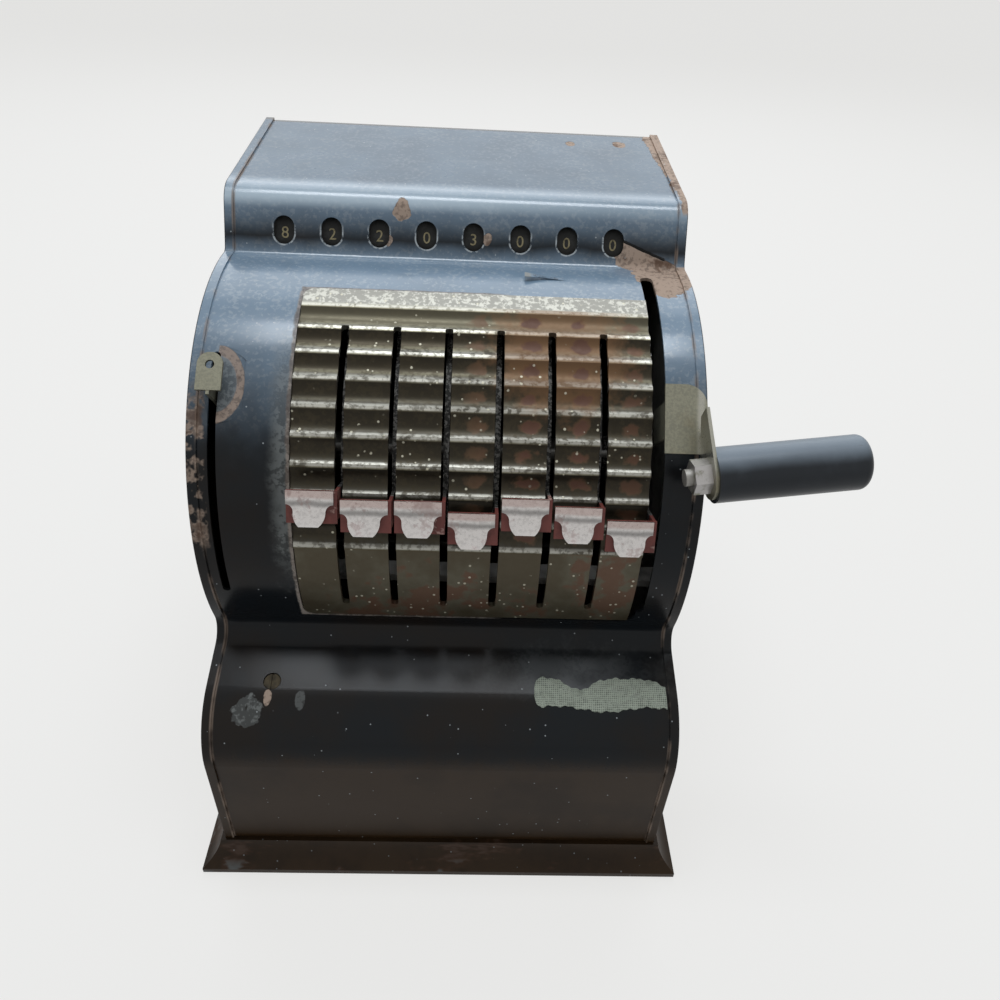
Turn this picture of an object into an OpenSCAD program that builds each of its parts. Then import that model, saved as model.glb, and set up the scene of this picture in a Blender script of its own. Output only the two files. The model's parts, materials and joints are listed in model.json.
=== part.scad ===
/* [Case] */
// Distance from one number column to the next
column_pitch = 19.05; // [18:0.05:20]
// Room between the outer number wheels' centres and the case sides
side_margin = 26.5; // [25.5:0.5:30]
// How far the number columns sit left of the case's middle
column_shift = 3.1; // [2:0.1:4]
// Thickness of the case's sheet metal
sheet_t = 1.2; // [0.8:0.1:1.5]
// Width of the lapped seam that follows the case's side edges
seam_w = 3.6; // [3:0.1:5]
// Thickness of the lapped seam
seam_t = 0.8; // [0.5:0.1:1.2]
// How far the foot panel stands ahead of the bulge
toe_out = 37; // [35:0.5:40]
// Room between the bulge's circle and the back of the case
back_room = 15; // [13:0.5:20]
// Height of the flat foot panel above the base
foot_h = 51.5; // [48:0.5:54]
// Radius of the roll above the foot panel
roll_r = 26.5; // [24:0.5:28]
// Slope of the shelf behind the roll, in degrees
shelf_slope = 17; // [14:1:20]
// Radius of the hollow waist under the bulge
waist_r = 9; // [7:0.5:11]
// Radius of the hollow brow over the bulge
brow_r = 4; // [3:0.2:4.6]
// Radius of the bend over the windows
crown_r = 10; // [8:0.5:12]
// Slope of the window panel, in degrees
window_slope = 63; // [60:1:66]
// Slope of the top panel, in degrees
top_slope = 4; // [3:0.5:6]
// Height of the case's top back edge above the number wheels' axis
top_rise = 28.5; // [27:0.5:32]
// Depth of the lip that turns down over the back cover
back_lip = 10; // [8:0.5:14]

/* [Base] */
// Height of the base moulding
base_h = 13; // [11:0.5:16]
// How far the base flares out beyond the case
base_flare = 9.4; // [8:0.2:11]
// Height of the upright lip at the foot of the base
base_lip = 2.5; // [2:0.1:3.5]
// How far the base's top bead stands out from the case
base_bead = 1.8; // [1.2:0.1:2.4]
// Radius of the base's hollow moulding
base_cove_r = 15; // [13:0.5:20]
// Width of the ledge that carries the case
base_ledge = 4.6; // [4:0.1:5.2]
// Thickness of the bottom plate
bottom_t = 2; // [1.5:0.1:2.5]

/* [Bulge and index plate] */
// Outer radius of the case's bulge about the main shaft
bulge_r = 87; // [84:0.5:90]
// Height of the main shaft
shaft_z = 134.5; // [132:0.5:138]
// Angle of the top ridge above the horizontal, in degrees
ridge_angle = 70.5; // [69:0.25:72]
// How far the ridges stand out from the case
ridge_rise = 0.8; // [0.5:0.1:1.5]
// Depth of the grooves between the ridges
groove_d = 1.8; // [1.2:0.1:2]
// Flat width left on each ridge
ridge_flat = 1.4; // [1:0.1:2]
// Thickness of the index plate's sheet
plate_t = 1.2; // [0.9:0.1:1.4]
// Corner radius of the opening for the index plate
corner_r = 5; // [3:0.5:7]
// Width of the lever slots
slot_w = 3; // [2.4:0.1:3.4]
// Width of the slot that the last lever shares with the handle
wide_slot_w = 5; // [4.8:0.1:5.6]

/* [Setting levers] */
// Radius of the main shaft
shaft_r = 4; // [3.5:0.1:4.5]
// Thickness of the lever plates
lever_t = 2; // [1.6:0.1:2.4]
// Thickness of the lever stems
stem_t = 1.2; // [1:0.1:1.6]
// Teeth that a full circle of the levers' gear rim would have
sector_teeth = 105; // [102:1:108]
// Length of the stem along the slot
stem_l = 10.5; // [9:0.5:11]
// Height of the finger pieces above the bulge
tab_rise = 7; // [6:0.25:8]
// Width of the finger pieces
tab_w = 16.8; // [15.5:0.1:17]
// Width of a finger piece's tongue
tongue_w = 11.4; // [10:0.2:12.5]
// Length of the finger pieces
tab_l = 12.5; // [11.5:0.5:14]
// Thickness of the finger pieces' sheet
tab_t = 0.8; // [0.6:0.1:1]
// Radius of the tongue's outward sweep
tongue_sweep = 18; // [16:0.5:22]

/* [Number wheels] */
// Radius of the number wheels
wheel_r = 17.5; // [17:0.1:18.5]
// Width of the number wheels' drums
drum_w = 9; // [8:0.2:9.6]
// Gap between the wheels and the window panel
wheel_gap = 1.2; // [0.8:0.1:2]
// How far the wheels' axis leans back from above the main shaft, in degrees
dial_lean = 19; // [17.5:0.5:20.5]
// Radius of the dial shaft
dial_shaft_r = 3; // [2.5:0.1:3.4]
// Width of the windows
window_w = 8.3; // [7.5:0.1:8.8]
// Height of the windows
window_h = 11; // [10:0.2:12]
// Radius of the carry shaft
carry_shaft_r = 2.5; // [2:0.1:3]

/* [Handle] */
// Angle of the handle above the horizontal, in degrees
handle_angle = 42; // [40:0.5:45]
// Thickness of the handle's sheet
handle_t = 1.2; // [1:0.1:1.6]
// Width of the handle arm in its slot
arm_w = 13; // [11:0.5:14]
// Height of the handle's face above the bulge
face_rise = 5; // [4:0.25:7]
// Radius of the grip
grip_r = 9.8; // [9:0.1:11]
// Length of the grip
grip_l = 54; // [48:1:62]
// Upward tilt of the grip, in degrees
grip_tilt = 7; // [5:0.5:9]
// Radius of the grip's bolt
bolt_r = 3; // [2.5:0.1:3.5]

/* [Clear lever] */
// Angle of the clear lever above the horizontal, in degrees
clear_angle = 49.5; // [47:0.5:51]
// Height of the clear lever's eye above the bulge
eye_rise = 5; // [4:0.25:6]
// Radius of the half-round recess beside the clear lever
recess_r = 13; // [11:0.5:14]

/* [Frame] */
// Thickness of the two frame plates
frame_t = 2; // [1.6:0.1:2.6]
// Radius of the tie rods
rod_r = 3; // [2.5:0.1:3.5]

/* [Hidden] */
$fn = 192;
columns = 7;
wheels = columns + 1;
lever_names = [for (k = [1:columns]) str("setting_lever_", k)];
tab_names = [for (k = [1:columns]) str("finger_tab_", k)];
pawl_names = [for (k = [1:columns]) str("carry_pawl_", k)];
wheel_names = [for (k = [1:wheels]) str("number_wheel_", k)];

// Clearances
running = 0.05;
seat = 0.2;
free_gap = 0.5;
// Overlap of the straight and round parts of a cut
corner_lap = 0.8;
// Overlap of the lines and arcs that meet in the case's profile
blend_lap = 0.004;

// Gears: the wheels turn a tenth of a turn for each digit step
wheel_step = 36;
pinion_teeth = 20;
gear_ratio = sector_teeth / pinion_teeth;
digit_step = wheel_step / gear_ratio;
sector_gap = 10.3;
sector_r = bulge_r - sector_gap;
tooth_m = 2 * sector_r / sector_teeth;
pinion_r = tooth_m * pinion_teeth / 2;
addendum = 0.8 * tooth_m;
dedendum = 1.1 * tooth_m;
tooth_thin = 0.25;
pressure = 20;

// Overall sizes of the case
case_w = (wheels - 1) * column_pitch + 2 * side_margin;
case_d = toe_out + 2 * bulge_r + back_room;
front_y = -case_d / 2;
back_y = case_d / 2;
inner_x = case_w / 2 - sheet_t;
shaft_y = front_y + toe_out + bulge_r;
bulge_c = [shaft_y, shaft_z];

// Point at a radius from the main shaft and an angle above the forward horizontal
function polar(r, angle) = [shaft_y - r * cos(angle), shaft_z + r * sin(angle)];
// Direction up a slope towards the back, and the outward normal of that slope
function along(slope) = [cos(slope), sin(slope)];
function outward(slope) = [-sin(slope), cos(slope)];
// Where a line from p along d enters a circle, and where it leaves it
function entry(p, d, c, r) = let(m = (p - c) * d) -m - sqrt(m * m - (p - c) * (p - c) + r * r);
function leaving(p, d, c, r) = let(m = (p - c) * d) -m + sqrt(m * m - (p - c) * (p - c) + r * r);
// Meeting point of two lines that are given by their normals and offsets
function meet(n1, a1, n2, a2) = let(d = n1.x * n2.y - n1.y * n2.x)
    [(a1 * n2.y - a2 * n1.y) / d, (n1.x * a2 - n2.x * a1) / d];

// Number wheels' axis
mesh_angle = 90 + dial_lean;
dial_dist = sector_r + pinion_r;
dial_c = polar(dial_dist, mesh_angle);
to_shaft = atan2(shaft_z - dial_c.y, shaft_y - dial_c.x);
panel_off = wheel_r + wheel_gap + sheet_t;
case_h = dial_c.y + top_rise;

// Centres of the case profile's arcs
roll_c = [front_y + roll_r, base_h + foot_h];
shelf_n = outward(shelf_slope);
waist_from = roll_c + shelf_n * (roll_r + waist_r);
waist_c = waist_from + along(shelf_slope)
    * entry(waist_from, along(shelf_slope), bulge_c, bulge_r + waist_r);
panel_n = outward(window_slope);
brow_from = dial_c + panel_n * (panel_off + brow_r);
brow_c = brow_from + along(window_slope)
    * leaving(brow_from, along(window_slope), bulge_c, bulge_r + brow_r);
top_n = outward(top_slope);
top_corner = [back_y, case_h];
crown_c = meet(panel_n, panel_n * dial_c + panel_off - crown_r, top_n, top_n * top_corner - crown_r);
waist_dir = (waist_c - bulge_c) / (bulge_r + waist_r);
brow_dir = (brow_c - bulge_c) / (bulge_r + brow_r);

// Columns
function window_x(i) = (i - (wheels - 1) / 2) * column_pitch - column_shift;
slot_side = 11.25;
function slot_x(k) = window_x(k + 1) + slot_side;
plate_left = slot_x(0) - tab_w - stem_t / 2 + seat;
stem_gap = 1;
wide_slot_left = slot_x(columns - 1) - stem_t / 2 - stem_gap;
wide_slot_right = wide_slot_left + wide_slot_w;
plate_right = wide_slot_left;
handle_x = slot_x(columns - 1) + lever_t / 2 + free_gap;
clear_side = 14.7;
clear_x = window_x(0) - clear_side;

// Index plate
ridges = 10;
plate_in = bulge_r - sheet_t - plate_t;
ridge_r = bulge_r + ridge_rise;
nine_angle = ridge_angle - digit_step;
zero_angle = nine_angle - 9 * digit_step;
slot_over = 1;
slot_under = 13.5;
slot_top = nine_angle + slot_over;
slot_bottom = zero_angle - slot_under;
wide_slot_over = 12;
plate_over = 6;
plate_under = 19;
plate_top = ridge_angle + plate_over;
plate_bottom = zero_angle - plate_under;
flange_angle = 3;
plate_relief = 0.1;
opening_gap = 0.4;
plate_border = 3.5;
groove_half = (ridge_r * digit_step * PI / 180 - ridge_flat) / 2;
groove_r = (groove_half * groove_half + groove_d * groove_d) / (2 * groove_d);
flat_drop = 1;
low_ridge = ridge_angle - (ridges - 1) * digit_step;
flat_from = low_ridge - 0.7;
plate_corner_r = corner_r - opening_gap;

// Levers, each at the digit that it shows
lever_digits = [3.27, 3.0, 3.01, 2.67, 3.18, 2.96, 2.55];
function lever_angle(k) = zero_angle + lever_digits[k] * digit_step;
tab_r = bulge_r + tab_rise;
backing_t = 1.1;
backing_l = tab_l - 0.5;
rim_w = 5;
rim_out = sector_r - dedendum + 0.1;
rim_in = rim_out - rim_w;
teeth_from = -(mesh_angle - zero_angle) - 2;
teeth_to = -(mesh_angle - nine_angle) + 2;
rim_to = 9;
spokes = [-72, -104];
spoke_w = 8;
hub_r = 8;
hub_left = 6;
lug_in = rim_in - 4;
bail_r = lug_in - free_gap - 1.5;
bail_rod_r = 1.5;
mesh_tooth = -75;

// Frame plates and shafts
handle_room = 6.5;
clear_room = 4.5;
frame_right_x = handle_x + handle_t + handle_room;
frame_left_x = clear_x + clear_room;
frame_gap = 5;
frame_over = 13;
frame_set_back = 15;
frame_set_in = 12;
frame_top = dial_c.y + frame_over;
frame_front = shaft_y - bulge_r + frame_set_back;
rod_up = 26;
rod_ahead = 30;
rod_behind = 55;
rod_in = 22;
rod_places = [[shaft_y - rod_ahead, bottom_t + rod_up], [shaft_y + rod_behind, bottom_t + rod_up],
              [back_y - rod_in, dial_c.y - rod_in]];
nut_t = 3;
rod_end = nut_t + 0.8;
carry_dist = 32;
carry_drop = 25;
carry_c = dial_c + carry_dist * [cos(carry_drop), -sin(carry_drop)];
comb_angle = 25;
comb_from = 24;
comb_w = 4;
comb_h = 6;
stop_r = rim_in - 1;
stop_w = 7;
stop_h = 4;
stop_gap = 0.4;
stop_angle = zero_angle - rim_to - (stop_h / 2 + stop_gap) / stop_r * 180 / PI;

// Base
base_w = case_w + 2 * base_flare;
base_d = case_d + 2 * base_flare;
boss_r = 6;
boss_x = case_w / 2 - boss_r + 0.3;
boss_y = case_d / 2 - boss_r + 0.3;

// Sizes of the smaller pieces
flank_steps = 3;
cover_screw_in = 25;
cover_screw_x = case_w / 2 - cover_screw_in;
cover_hole_r = 3.5;
shelf_share = 0.15;
shelf_from = roll_c + shelf_n * roll_r;
shelf_to = waist_c - shelf_n * waist_r;
shelf_mid = shelf_from * (1 - shelf_share) + shelf_to * shelf_share;
clear_over = 6.5;
clear_travel = 50;
clear_slot_top = clear_angle + clear_over;
clear_slot_bottom = clear_angle - clear_travel - clear_over;
recess_d = 1.4;
recess_drop = 1.5;
recess_w = 0.72 * recess_r;
back_flange = 12;
back_screw_r = 2;
back_screw_in = 8;
back_screw_x = case_w / 2 - back_screw_in;
back_screw_z = [base_h + 1.5 * back_flange, case_h - 2.8 * back_flange];
screw_head_r = 3.2;
screw_head_t = 1.6;
shelf_head_t = 0.8;
shelf_screw_l = 7;
clip_r = 5;
clip_t = 1.5;
// The clip ends where the roll begins
clip_flat = shelf_share * norm(shelf_to - shelf_from);
foot_w = 12;
foot_screw_x = [frame_left_x + frame_t + foot_w / 2, frame_right_x - foot_w / 2];
foot_set_in = 10;
foot_ahead = 45;
foot_behind = 70;
foot_screw_y = [shaft_y - foot_ahead, shaft_y + foot_behind];
sleeve_r = 6;
bail_x = plate_left - 6;
drum_wall = 2;
web_t = 2;
wheel_hub_r = 6;
pinion_w = 3;
pawl_t = 2;
pawl_hub_r = 5;
pawl_hub_half = 4;
pawl_arm_w = 4;
pawl_tail = 11;
pawl_tail_w = 5;
pawl_reach = carry_dist - pinion_r - addendum - free_gap;
clear_pinion_teeth = 14;
clear_sector_teeth = sector_teeth + pinion_teeth - clear_pinion_teeth;
clear_pinion_r = tooth_m * clear_pinion_teeth / 2;
clear_sector_r = tooth_m * clear_sector_teeth / 2;
clear_t = 1.2;
clear_tooth = -(mesh_angle - clear_angle);
clear_rim_out = clear_sector_r - dedendum + 0.1;
clear_rim_in = clear_rim_out - rim_w;
eye_r = bulge_r + eye_rise;
eye_w = 9;
eye_half = 7;
eye_hole_r = 1.6;
eye_stem = 8.5;
face_r = bulge_r + face_rise;
face_up = 13;
face_down = 12;
face_in = 1.6;
face_out = case_w / 2 - face_in;
face_corner = 8;
nut_down = 20;
nut_rise = 11.5;
boss_out = 8.5;
boss_place = [bulge_r + nut_rise, nut_down];
bail_lag = 8;
bolt_out = 8.5;
grip_nut_t = 6;

// Plain shapes

// A side profile, drawn as depth and height, made solid from x0 to x1
module across(x0, x1) {
    translate([x0, 0, 0])
        rotate([90, 0, 90])
            linear_extrude(x1 - x0)
                children();
}

// A round bar along the width
module bar(place, r, x0, x1) {
    translate([x0, place.x, place.y])
        rotate([0, 90, 0])
            cylinder(r = r, h = x1 - x0);
}

// A side profile about the main shaft: x runs outwards at the angle, y runs down
module about_shaft(angle) {
    translate(bulge_c)
        rotate(180 - angle)
            children();
}

// A solid about the main shaft: -Y runs outwards at the angle, -Z runs down
module swing(angle) {
    translate([0, shaft_y, shaft_z])
        rotate([-angle, 0, 0])
            children();
}

module wedge(a0, a1, r) {
    parts = 6;
    polygon(concat([[0, 0]], [for (i = [0:parts]) let(a = a0 + (a1 - a0) * i / parts) r * [cos(a), sin(a)]]));
}

module arc_band(r0, r1, a0, a1) {
    intersection() {
        difference() {
            circle(r1);
            circle(r0);
        }
        wedge(a0, a1, 2 * r1);
    }
}

// Half the angle of an involute tooth at radius r
function involute(rb, r) = let(a = acos(min(1, rb / r))) tan(a) * 180 / PI - a;
function tooth_half(teeth, pitch, r) = let(rb = pitch * cos(pressure))
    90 / teeth - tooth_thin / 2 / pitch * 180 / PI + involute(rb, pitch) - involute(rb, max(r, rb));
function spot(r, a) = r * [cos(a), sin(a)];
// Outline of a run of teeth, counted from the tooth at angle zero
function tooth_run(teeth, pitch, first, last) = let(root = pitch - dedendum, tip = pitch + addendum)
    [for (j = [first:last], side = [-1, 1], i = [0:flank_steps])
        let(f = side < 0 ? i : flank_steps - i, r = root + (tip - root) * f / flank_steps)
        spot(r, j * 360 / teeth + side * tooth_half(teeth, pitch, r))];

module pinion_profile(teeth, pitch) {
    polygon(tooth_run(teeth, pitch, 0, teeth - 1));
}

// A row of teeth from angle a0 to a1, on a tooth that is centred at the phase angle
module sector_profile(teeth, pitch, a0, a1, phase) {
    step = 360 / teeth;
    first = ceil((a0 - phase) / step);
    last = floor((a1 - phase) / step);
    under = pitch - dedendum - 1;
    rotate(phase)
        polygon(concat(tooth_run(teeth, pitch, first, last),
            [for (j = [last:-1:first]) spot(under, j * step)]));
}

module hex_nut(r, bore_r, t) {
    difference() {
        cylinder(r = r, h = t, $fn = 6);
        translate([0, 0, -1])
            cylinder(r = bore_r, h = t + 2);
    }
}

// Case

// Side view of the case, drawn in by the inset and cut off at the floor
module case_region(inset, floor_z) {
    top_z = case_h + inset * (top_n.x - 1) / top_n.y;
    inside = inset + blend_lap;
    difference() {
        union() {
            polygon([
                [front_y + inside, floor_z],
                [front_y + inside, roll_c.y],
                roll_c,
                roll_c + shelf_n * (roll_r - inside),
                waist_c - shelf_n * (waist_r + inside),
                bulge_c + waist_dir * (bulge_r - inside),
                bulge_c,
                bulge_c + brow_dir * (bulge_r - inside),
                brow_c - panel_n * (brow_r + inside),
                crown_c + panel_n * (crown_r - inside),
                crown_c,
                crown_c + top_n * (crown_r - inside),
                [back_y - inset, top_z],
                [back_y - inset, floor_z]]);
            translate(roll_c)
                circle(roll_r - inset);
            translate(bulge_c)
                circle(bulge_r - inset);
            translate(crown_c)
                circle(crown_r - inset);
        }
        translate(waist_c)
            circle(waist_r + inset + 2 * blend_lap);
        translate(brow_c)
            circle(brow_r + inset + 2 * blend_lap);
    }
}

// Round hole through the bulge at a place across and an angle
module bulge_hole(x, angle, r, depth) {
    swing(angle)
        translate([x, -bulge_r + depth, 0])
            rotate([90, 0, 0])
                cylinder(r = r, h = 2 * depth);
}

// Part of the bulge's shell between two places across and two angles
module bulge_block(x0, x1, a0, a1, depth) {
    across(x0, x1)
        about_shaft(0)
            arc_band(bulge_r - depth, bulge_r + depth, -a1, -a0);
}

// Slot with round ends along the bulge
module bulge_slot(x, w, a0, a1, depth) {
    lap = (w / 2 + corner_lap) / bulge_r * 180 / PI;
    end = w / 2 / bulge_r * 180 / PI;
    bulge_block(x - w / 2, x + w / 2, a0 + lap, a1 - lap, depth);
    for (a = [a0 + end, a1 - end])
        bulge_hole(x, a, w / 2, depth + corner_lap);
}

// Opening in the bulge with round corners
module bulge_opening(x0, x1, a0, a1, r, depth) {
    lap = (r + corner_lap) / bulge_r * 180 / PI;
    end = r / bulge_r * 180 / PI;
    bulge_block(x0 + r + corner_lap, x1 - r - corner_lap, a0, a1, depth);
    bulge_block(x0, x1, a0 + lap, a1 - lap, depth + corner_lap);
    for (x = [x0 + r, x1 - r], a = [a0 + end, a1 - end])
        bulge_hole(x, a, r, depth + 2 * corner_lap);
}

module window_hole() {
    straight = (window_h - window_w) / 2;
    deep = 4 * sheet_t;
    rotate([window_slope, 0, 0])
        translate([0, 0, panel_off - 3 * sheet_t]) {
            for (s = [-1, 1])
                translate([0, s * straight, 0])
                    cylinder(r = window_w / 2, h = deep);
            translate([-window_w / 2, -straight, 0])
                cube([window_w, 2 * straight, deep]);
        }
}

// Places a screw on the shelf, with Z along the shelf's normal
module at_cover_screw(x) {
    translate([x, shelf_mid.x, shelf_mid.y])
        rotate([shelf_slope, 0, 0])
            children();
}

module half_round(r, r_in, r_out) {
    swing(clear_angle - recess_drop)
        translate([clear_x + slot_w / 2 - 0.1, -r_in, 0])
            rotate([90, 0, 0])
                linear_extrude(r_out - r_in)
                    intersection() {
                        circle(r);
                        translate([0, -r])
                            square([recess_w + r - recess_r, 2 * r]);
                    }
}

module front_cover() {
    color("#1b1d21")
    difference() {
        union() {
            difference() {
                across(-inner_x, inner_x)
                    difference() {
                        case_region(0, base_h);
                        case_region(sheet_t, base_h - 1);
                        translate([back_y - 2 * sheet_t, base_h - 1])
                            square([3 * sheet_t, case_h - back_lip - base_h + 1]);
                    }
                half_round(recess_r, bulge_r - 3 * sheet_t, bulge_r + 3 * sheet_t);
            }
            half_round(recess_r + sheet_t, bulge_r - sheet_t - recess_d, bulge_r - sheet_t + 0.3);
        }
        bulge_opening(plate_left - opening_gap, plate_right + wide_slot_w / 2, plate_bottom - 0.3,
            plate_top + 0.3, corner_r, 4 * sheet_t);
        bulge_slot((wide_slot_left + wide_slot_right) / 2, wide_slot_w, slot_bottom - 1,
            plate_top + wide_slot_over, 5 * sheet_t);
        bulge_slot(clear_x, slot_w, clear_slot_bottom, clear_slot_top, 4 * sheet_t);
        for (i = [0:wheels - 1])
            translate([window_x(i), dial_c.x, dial_c.y])
                window_hole();
        for (s = [-1, 1])
            at_cover_screw(s * cover_screw_x)
                translate([0, 0, -3 * sheet_t])
                    cylinder(r = cover_hole_r, h = 5 * sheet_t);
    }
}

module back_screw_places() {
    for (s = [-1, 1], z = back_screw_z)
        translate([s * back_screw_x, back_y - sheet_t, z])
            rotate([-90, 0, 0])
                children();
}

module side_panel(side) {
    color("#1b1d21")
    mirror([side < 0 ? 1 : 0, 0, 0])
        difference() {
            union() {
                difference() {
                    across(case_w / 2 - seam_w, case_w / 2)
                        case_region(-seam_t, base_h);
                    across(case_w / 2 - seam_w - 1, inner_x)
                        case_region(0, base_h - 1);
                }
                translate([case_w / 2 - back_flange, back_y - 3 * sheet_t, base_h])
                    cube([back_flange - sheet_t / 2, sheet_t, case_h - base_h - 2 * back_flange]);
            }
            mirror([side < 0 ? 1 : 0, 0, 0])
                back_screw_places()
                    translate([0, 0, -4 * sheet_t])
                        cylinder(r = back_screw_r + running, h = 6 * sheet_t);
        }
}

module side_panel_left() { side_panel(-1); }

module side_panel_right() { side_panel(1); }

module back_cover() {
    color("#1b1d21")
    difference() {
        translate([-inner_x + seat, back_y - 2 * sheet_t, base_h])
            cube([2 * inner_x - 2 * seat, sheet_t, case_h - base_h - 4]);
        back_screw_places()
            translate([0, 0, -2 * sheet_t])
                cylinder(r = back_screw_r + running, h = 4 * sheet_t);
    }
}

module slotted_head(r, t) {
    difference() {
        cylinder(r = r, h = t);
        translate([-0.4, -r - 1, t - 0.6])
            cube([0.8, 2 * r + 2, 1]);
    }
}

// Holds a shelf screw under the sheet, with a straight side towards the roll
module screw_clip() {
    linear_extrude(clip_t)
        intersection() {
            circle(clip_r);
            translate([-2 * clip_r, -clip_flat])
                square(4 * clip_r);
        }
}

module cover_screws() {
    color("#a98f58") {
        for (s = [-1, 1])
            at_cover_screw(s * cover_screw_x)
                translate([0, 0, -sheet_t]) {
                    slotted_head(screw_head_r, shelf_head_t);
                    translate([0, 0, -clip_t])
                        screw_clip();
                    translate([0, 0, -shelf_screw_l])
                        cylinder(r = back_screw_r, h = shelf_screw_l - clip_t / 2);
                }
        back_screw_places() {
            slotted_head(screw_head_r + 0.6, screw_head_t);
            translate([0, 0, -4 * sheet_t])
                cylinder(r = back_screw_r, h = 4 * sheet_t);
        }
    }
}

// Base

// Section through the base moulding for a case that is 2 * half wide
module base_section(half, inset, floor_z) {
    a = half + base_bead - inset;
    b = half + base_flare - inset;
    high = [half + base_bead, base_h];
    low = [half + base_flare, base_lip];
    mid = (high + low) / 2;
    run = high - low;
    hollow_n = [run.y, -run.x] / norm(run);
    hollow_c = mid + hollow_n * sqrt(base_cove_r * base_cove_r - run * run / 4);
    difference() {
        polygon([[-b, floor_z], [b, floor_z], [b, base_lip], [a, base_h - inset],
                 [-a, base_h - inset], [-b, base_lip]]);
        for (s = [-1, 1])
            translate([s * hollow_c.x, hollow_c.y])
                circle(base_cove_r + inset);
    }
}

module base_solid(inset, floor_z) {
    intersection() {
        translate([0, base_d, 0])
            rotate([90, 0, 0])
                linear_extrude(2 * base_d)
                    base_section(case_w / 2, inset, floor_z);
        across(-base_w, base_w)
            base_section(case_d / 2, inset, floor_z);
    }
}

module base_pan() {
    color("#2a221c")
    difference() {
        base_solid(0, 0);
        base_solid(sheet_t, -1);
        translate([-case_w / 2 + base_ledge, -case_d / 2 + base_ledge, base_lip])
            cube([case_w - 2 * base_ledge, case_d - 2 * base_ledge, base_h]);
    }
}

module foot_screw_places() {
    for (x = foot_screw_x, y = foot_screw_y)
        translate([x, y, bottom_t + frame_t])
            children();
}

module bottom_plate() {
    color("#3a3633")
    difference() {
        union() {
            translate([-base_w / 2 + sheet_t + seat, -base_d / 2 + sheet_t + seat, 0])
                cube([base_w - 2 * sheet_t - 2 * seat, base_d - 2 * sheet_t - 2 * seat, bottom_t]);
            for (x = [-1, 1], y = [-1, 1])
                translate([x * boss_x, y * boss_y, bottom_t / 2])
                    cylinder(r = boss_r, h = base_h - sheet_t - bottom_t / 2);
        }
        foot_screw_places()
            translate([0, 0, -frame_t - 0.75 * bottom_t])
                cylinder(r = back_screw_r + running, h = 2 * bottom_t);
    }
}

module foot_screws() {
    color("#8d8a80")
    foot_screw_places() {
        slotted_head(screw_head_r + 0.6, screw_head_t);
        translate([0, 0, -frame_t - 0.7 * bottom_t])
            cylinder(r = back_screw_r, h = frame_t + 0.7 * bottom_t);
    }
}

// Index plate

// Band between two angles above the forward horizontal, drawn from the back so that no circle starts in it
module front_band(r0, r1, high, low) {
    half_turn = 180;
    about_shaft(half_turn)
        arc_band(r0, r1, half_turn - high, half_turn - low);
}

// Side view of the plate: a flange under the case, finger grooves between ridges, a flat foot
module plate_profile() {
    step_r = bulge_r - sheet_t;
    over_r = 2 * ridge_r;
    difference() {
        front_band(plate_in, ridge_r, plate_top + flange_angle, plate_bottom - flange_angle);
        front_band(step_r, over_r, plate_top + 2 * flange_angle, plate_top);
        front_band(step_r, over_r, plate_bottom, plate_bottom - 2 * flange_angle);
        front_band(ridge_r - flat_drop, over_r, flat_from, plate_bottom - flange_angle);
        for (n = [0:ridges - 2])
            translate(polar(ridge_r + groove_r - groove_d, ridge_angle - (n + 0.5) * digit_step))
                circle(groove_r);
    }
}

// Cuts a round corner off the raised part of the plate
module plate_corner(angle, up) {
    r = plate_corner_r;
    swing(angle)
        translate([plate_left + r, -bulge_r + sheet_t, 0])
            rotate([90, 0, 0])
                linear_extrude(4 * sheet_t)
                    difference() {
                        translate([-r - 1, up ? 0 : -r - 1])
                            square(r + 1);
                        circle(r + running);
                    }
}

module index_plate() {
    corner_turn = plate_corner_r / bulge_r * 180 / PI;
    color("#8f8a68")
    difference() {
        across(plate_left - plate_border, plate_right)
            plate_profile();
        across(plate_left - plate_border - 1, plate_left)
            front_band(bulge_r - sheet_t - running, 2 * ridge_r, plate_top + 2 * flange_angle,
                plate_bottom - 2 * flange_angle);
        plate_corner(plate_top - corner_turn, true);
        plate_corner(plate_bottom + corner_turn, false);
        for (k = [0:columns - 2])
            bulge_slot(slot_x(k), slot_w, slot_bottom, slot_top, 6 * sheet_t);
        for (k = [0:2:columns - 3])
            bar(bulge_c, plate_in + plate_relief, slot_x(k), slot_x(k + 1));
    }
}

// Frame

module frame_outline() {
    intersection() {
        case_region(frame_gap, bottom_t);
        translate([frame_front, bottom_t])
            square([back_y - frame_set_in - frame_front, frame_top - bottom_t]);
    }
}

module frame_holes() {
    translate(bulge_c)
        circle(shaft_r + running);
    translate(dial_c)
        circle(dial_shaft_r + running);
    translate(carry_c)
        circle(carry_shaft_r + running);
    for (p = rod_places)
        translate(p)
            circle(rod_r + running);
}

module frame_foot(x0) {
    difference() {
        translate([x0, frame_front + foot_set_in, bottom_t])
            cube([foot_w, back_y - frame_set_in - frame_front - 2 * foot_set_in, frame_t]);
        foot_screw_places()
            translate([0, 0, -2 * frame_t])
                cylinder(r = back_screw_r + running, h = 4 * frame_t);
    }
}

module frame_plate(x0) {
    across(x0, x0 + frame_t)
        difference() {
            frame_outline();
            frame_holes();
        }
}

module frame_left() {
    color("#6f6a5e") {
        frame_plate(frame_left_x);
        frame_foot(frame_left_x + frame_t / 2);
    }
}

module frame_right() {
    color("#6f6a5e") {
        frame_plate(frame_right_x);
        frame_foot(frame_right_x + frame_t / 2 - foot_w);
    }
}

module main_shaft() {
    color("#9a978e")
    bar(bulge_c, shaft_r, clear_x - 4, frame_right_x + frame_t + 2);
}

module carry_shaft() {
    color("#9a978e")
    bar(carry_c, carry_shaft_r, frame_left_x - 1, frame_right_x + frame_t + 1);
}

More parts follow.
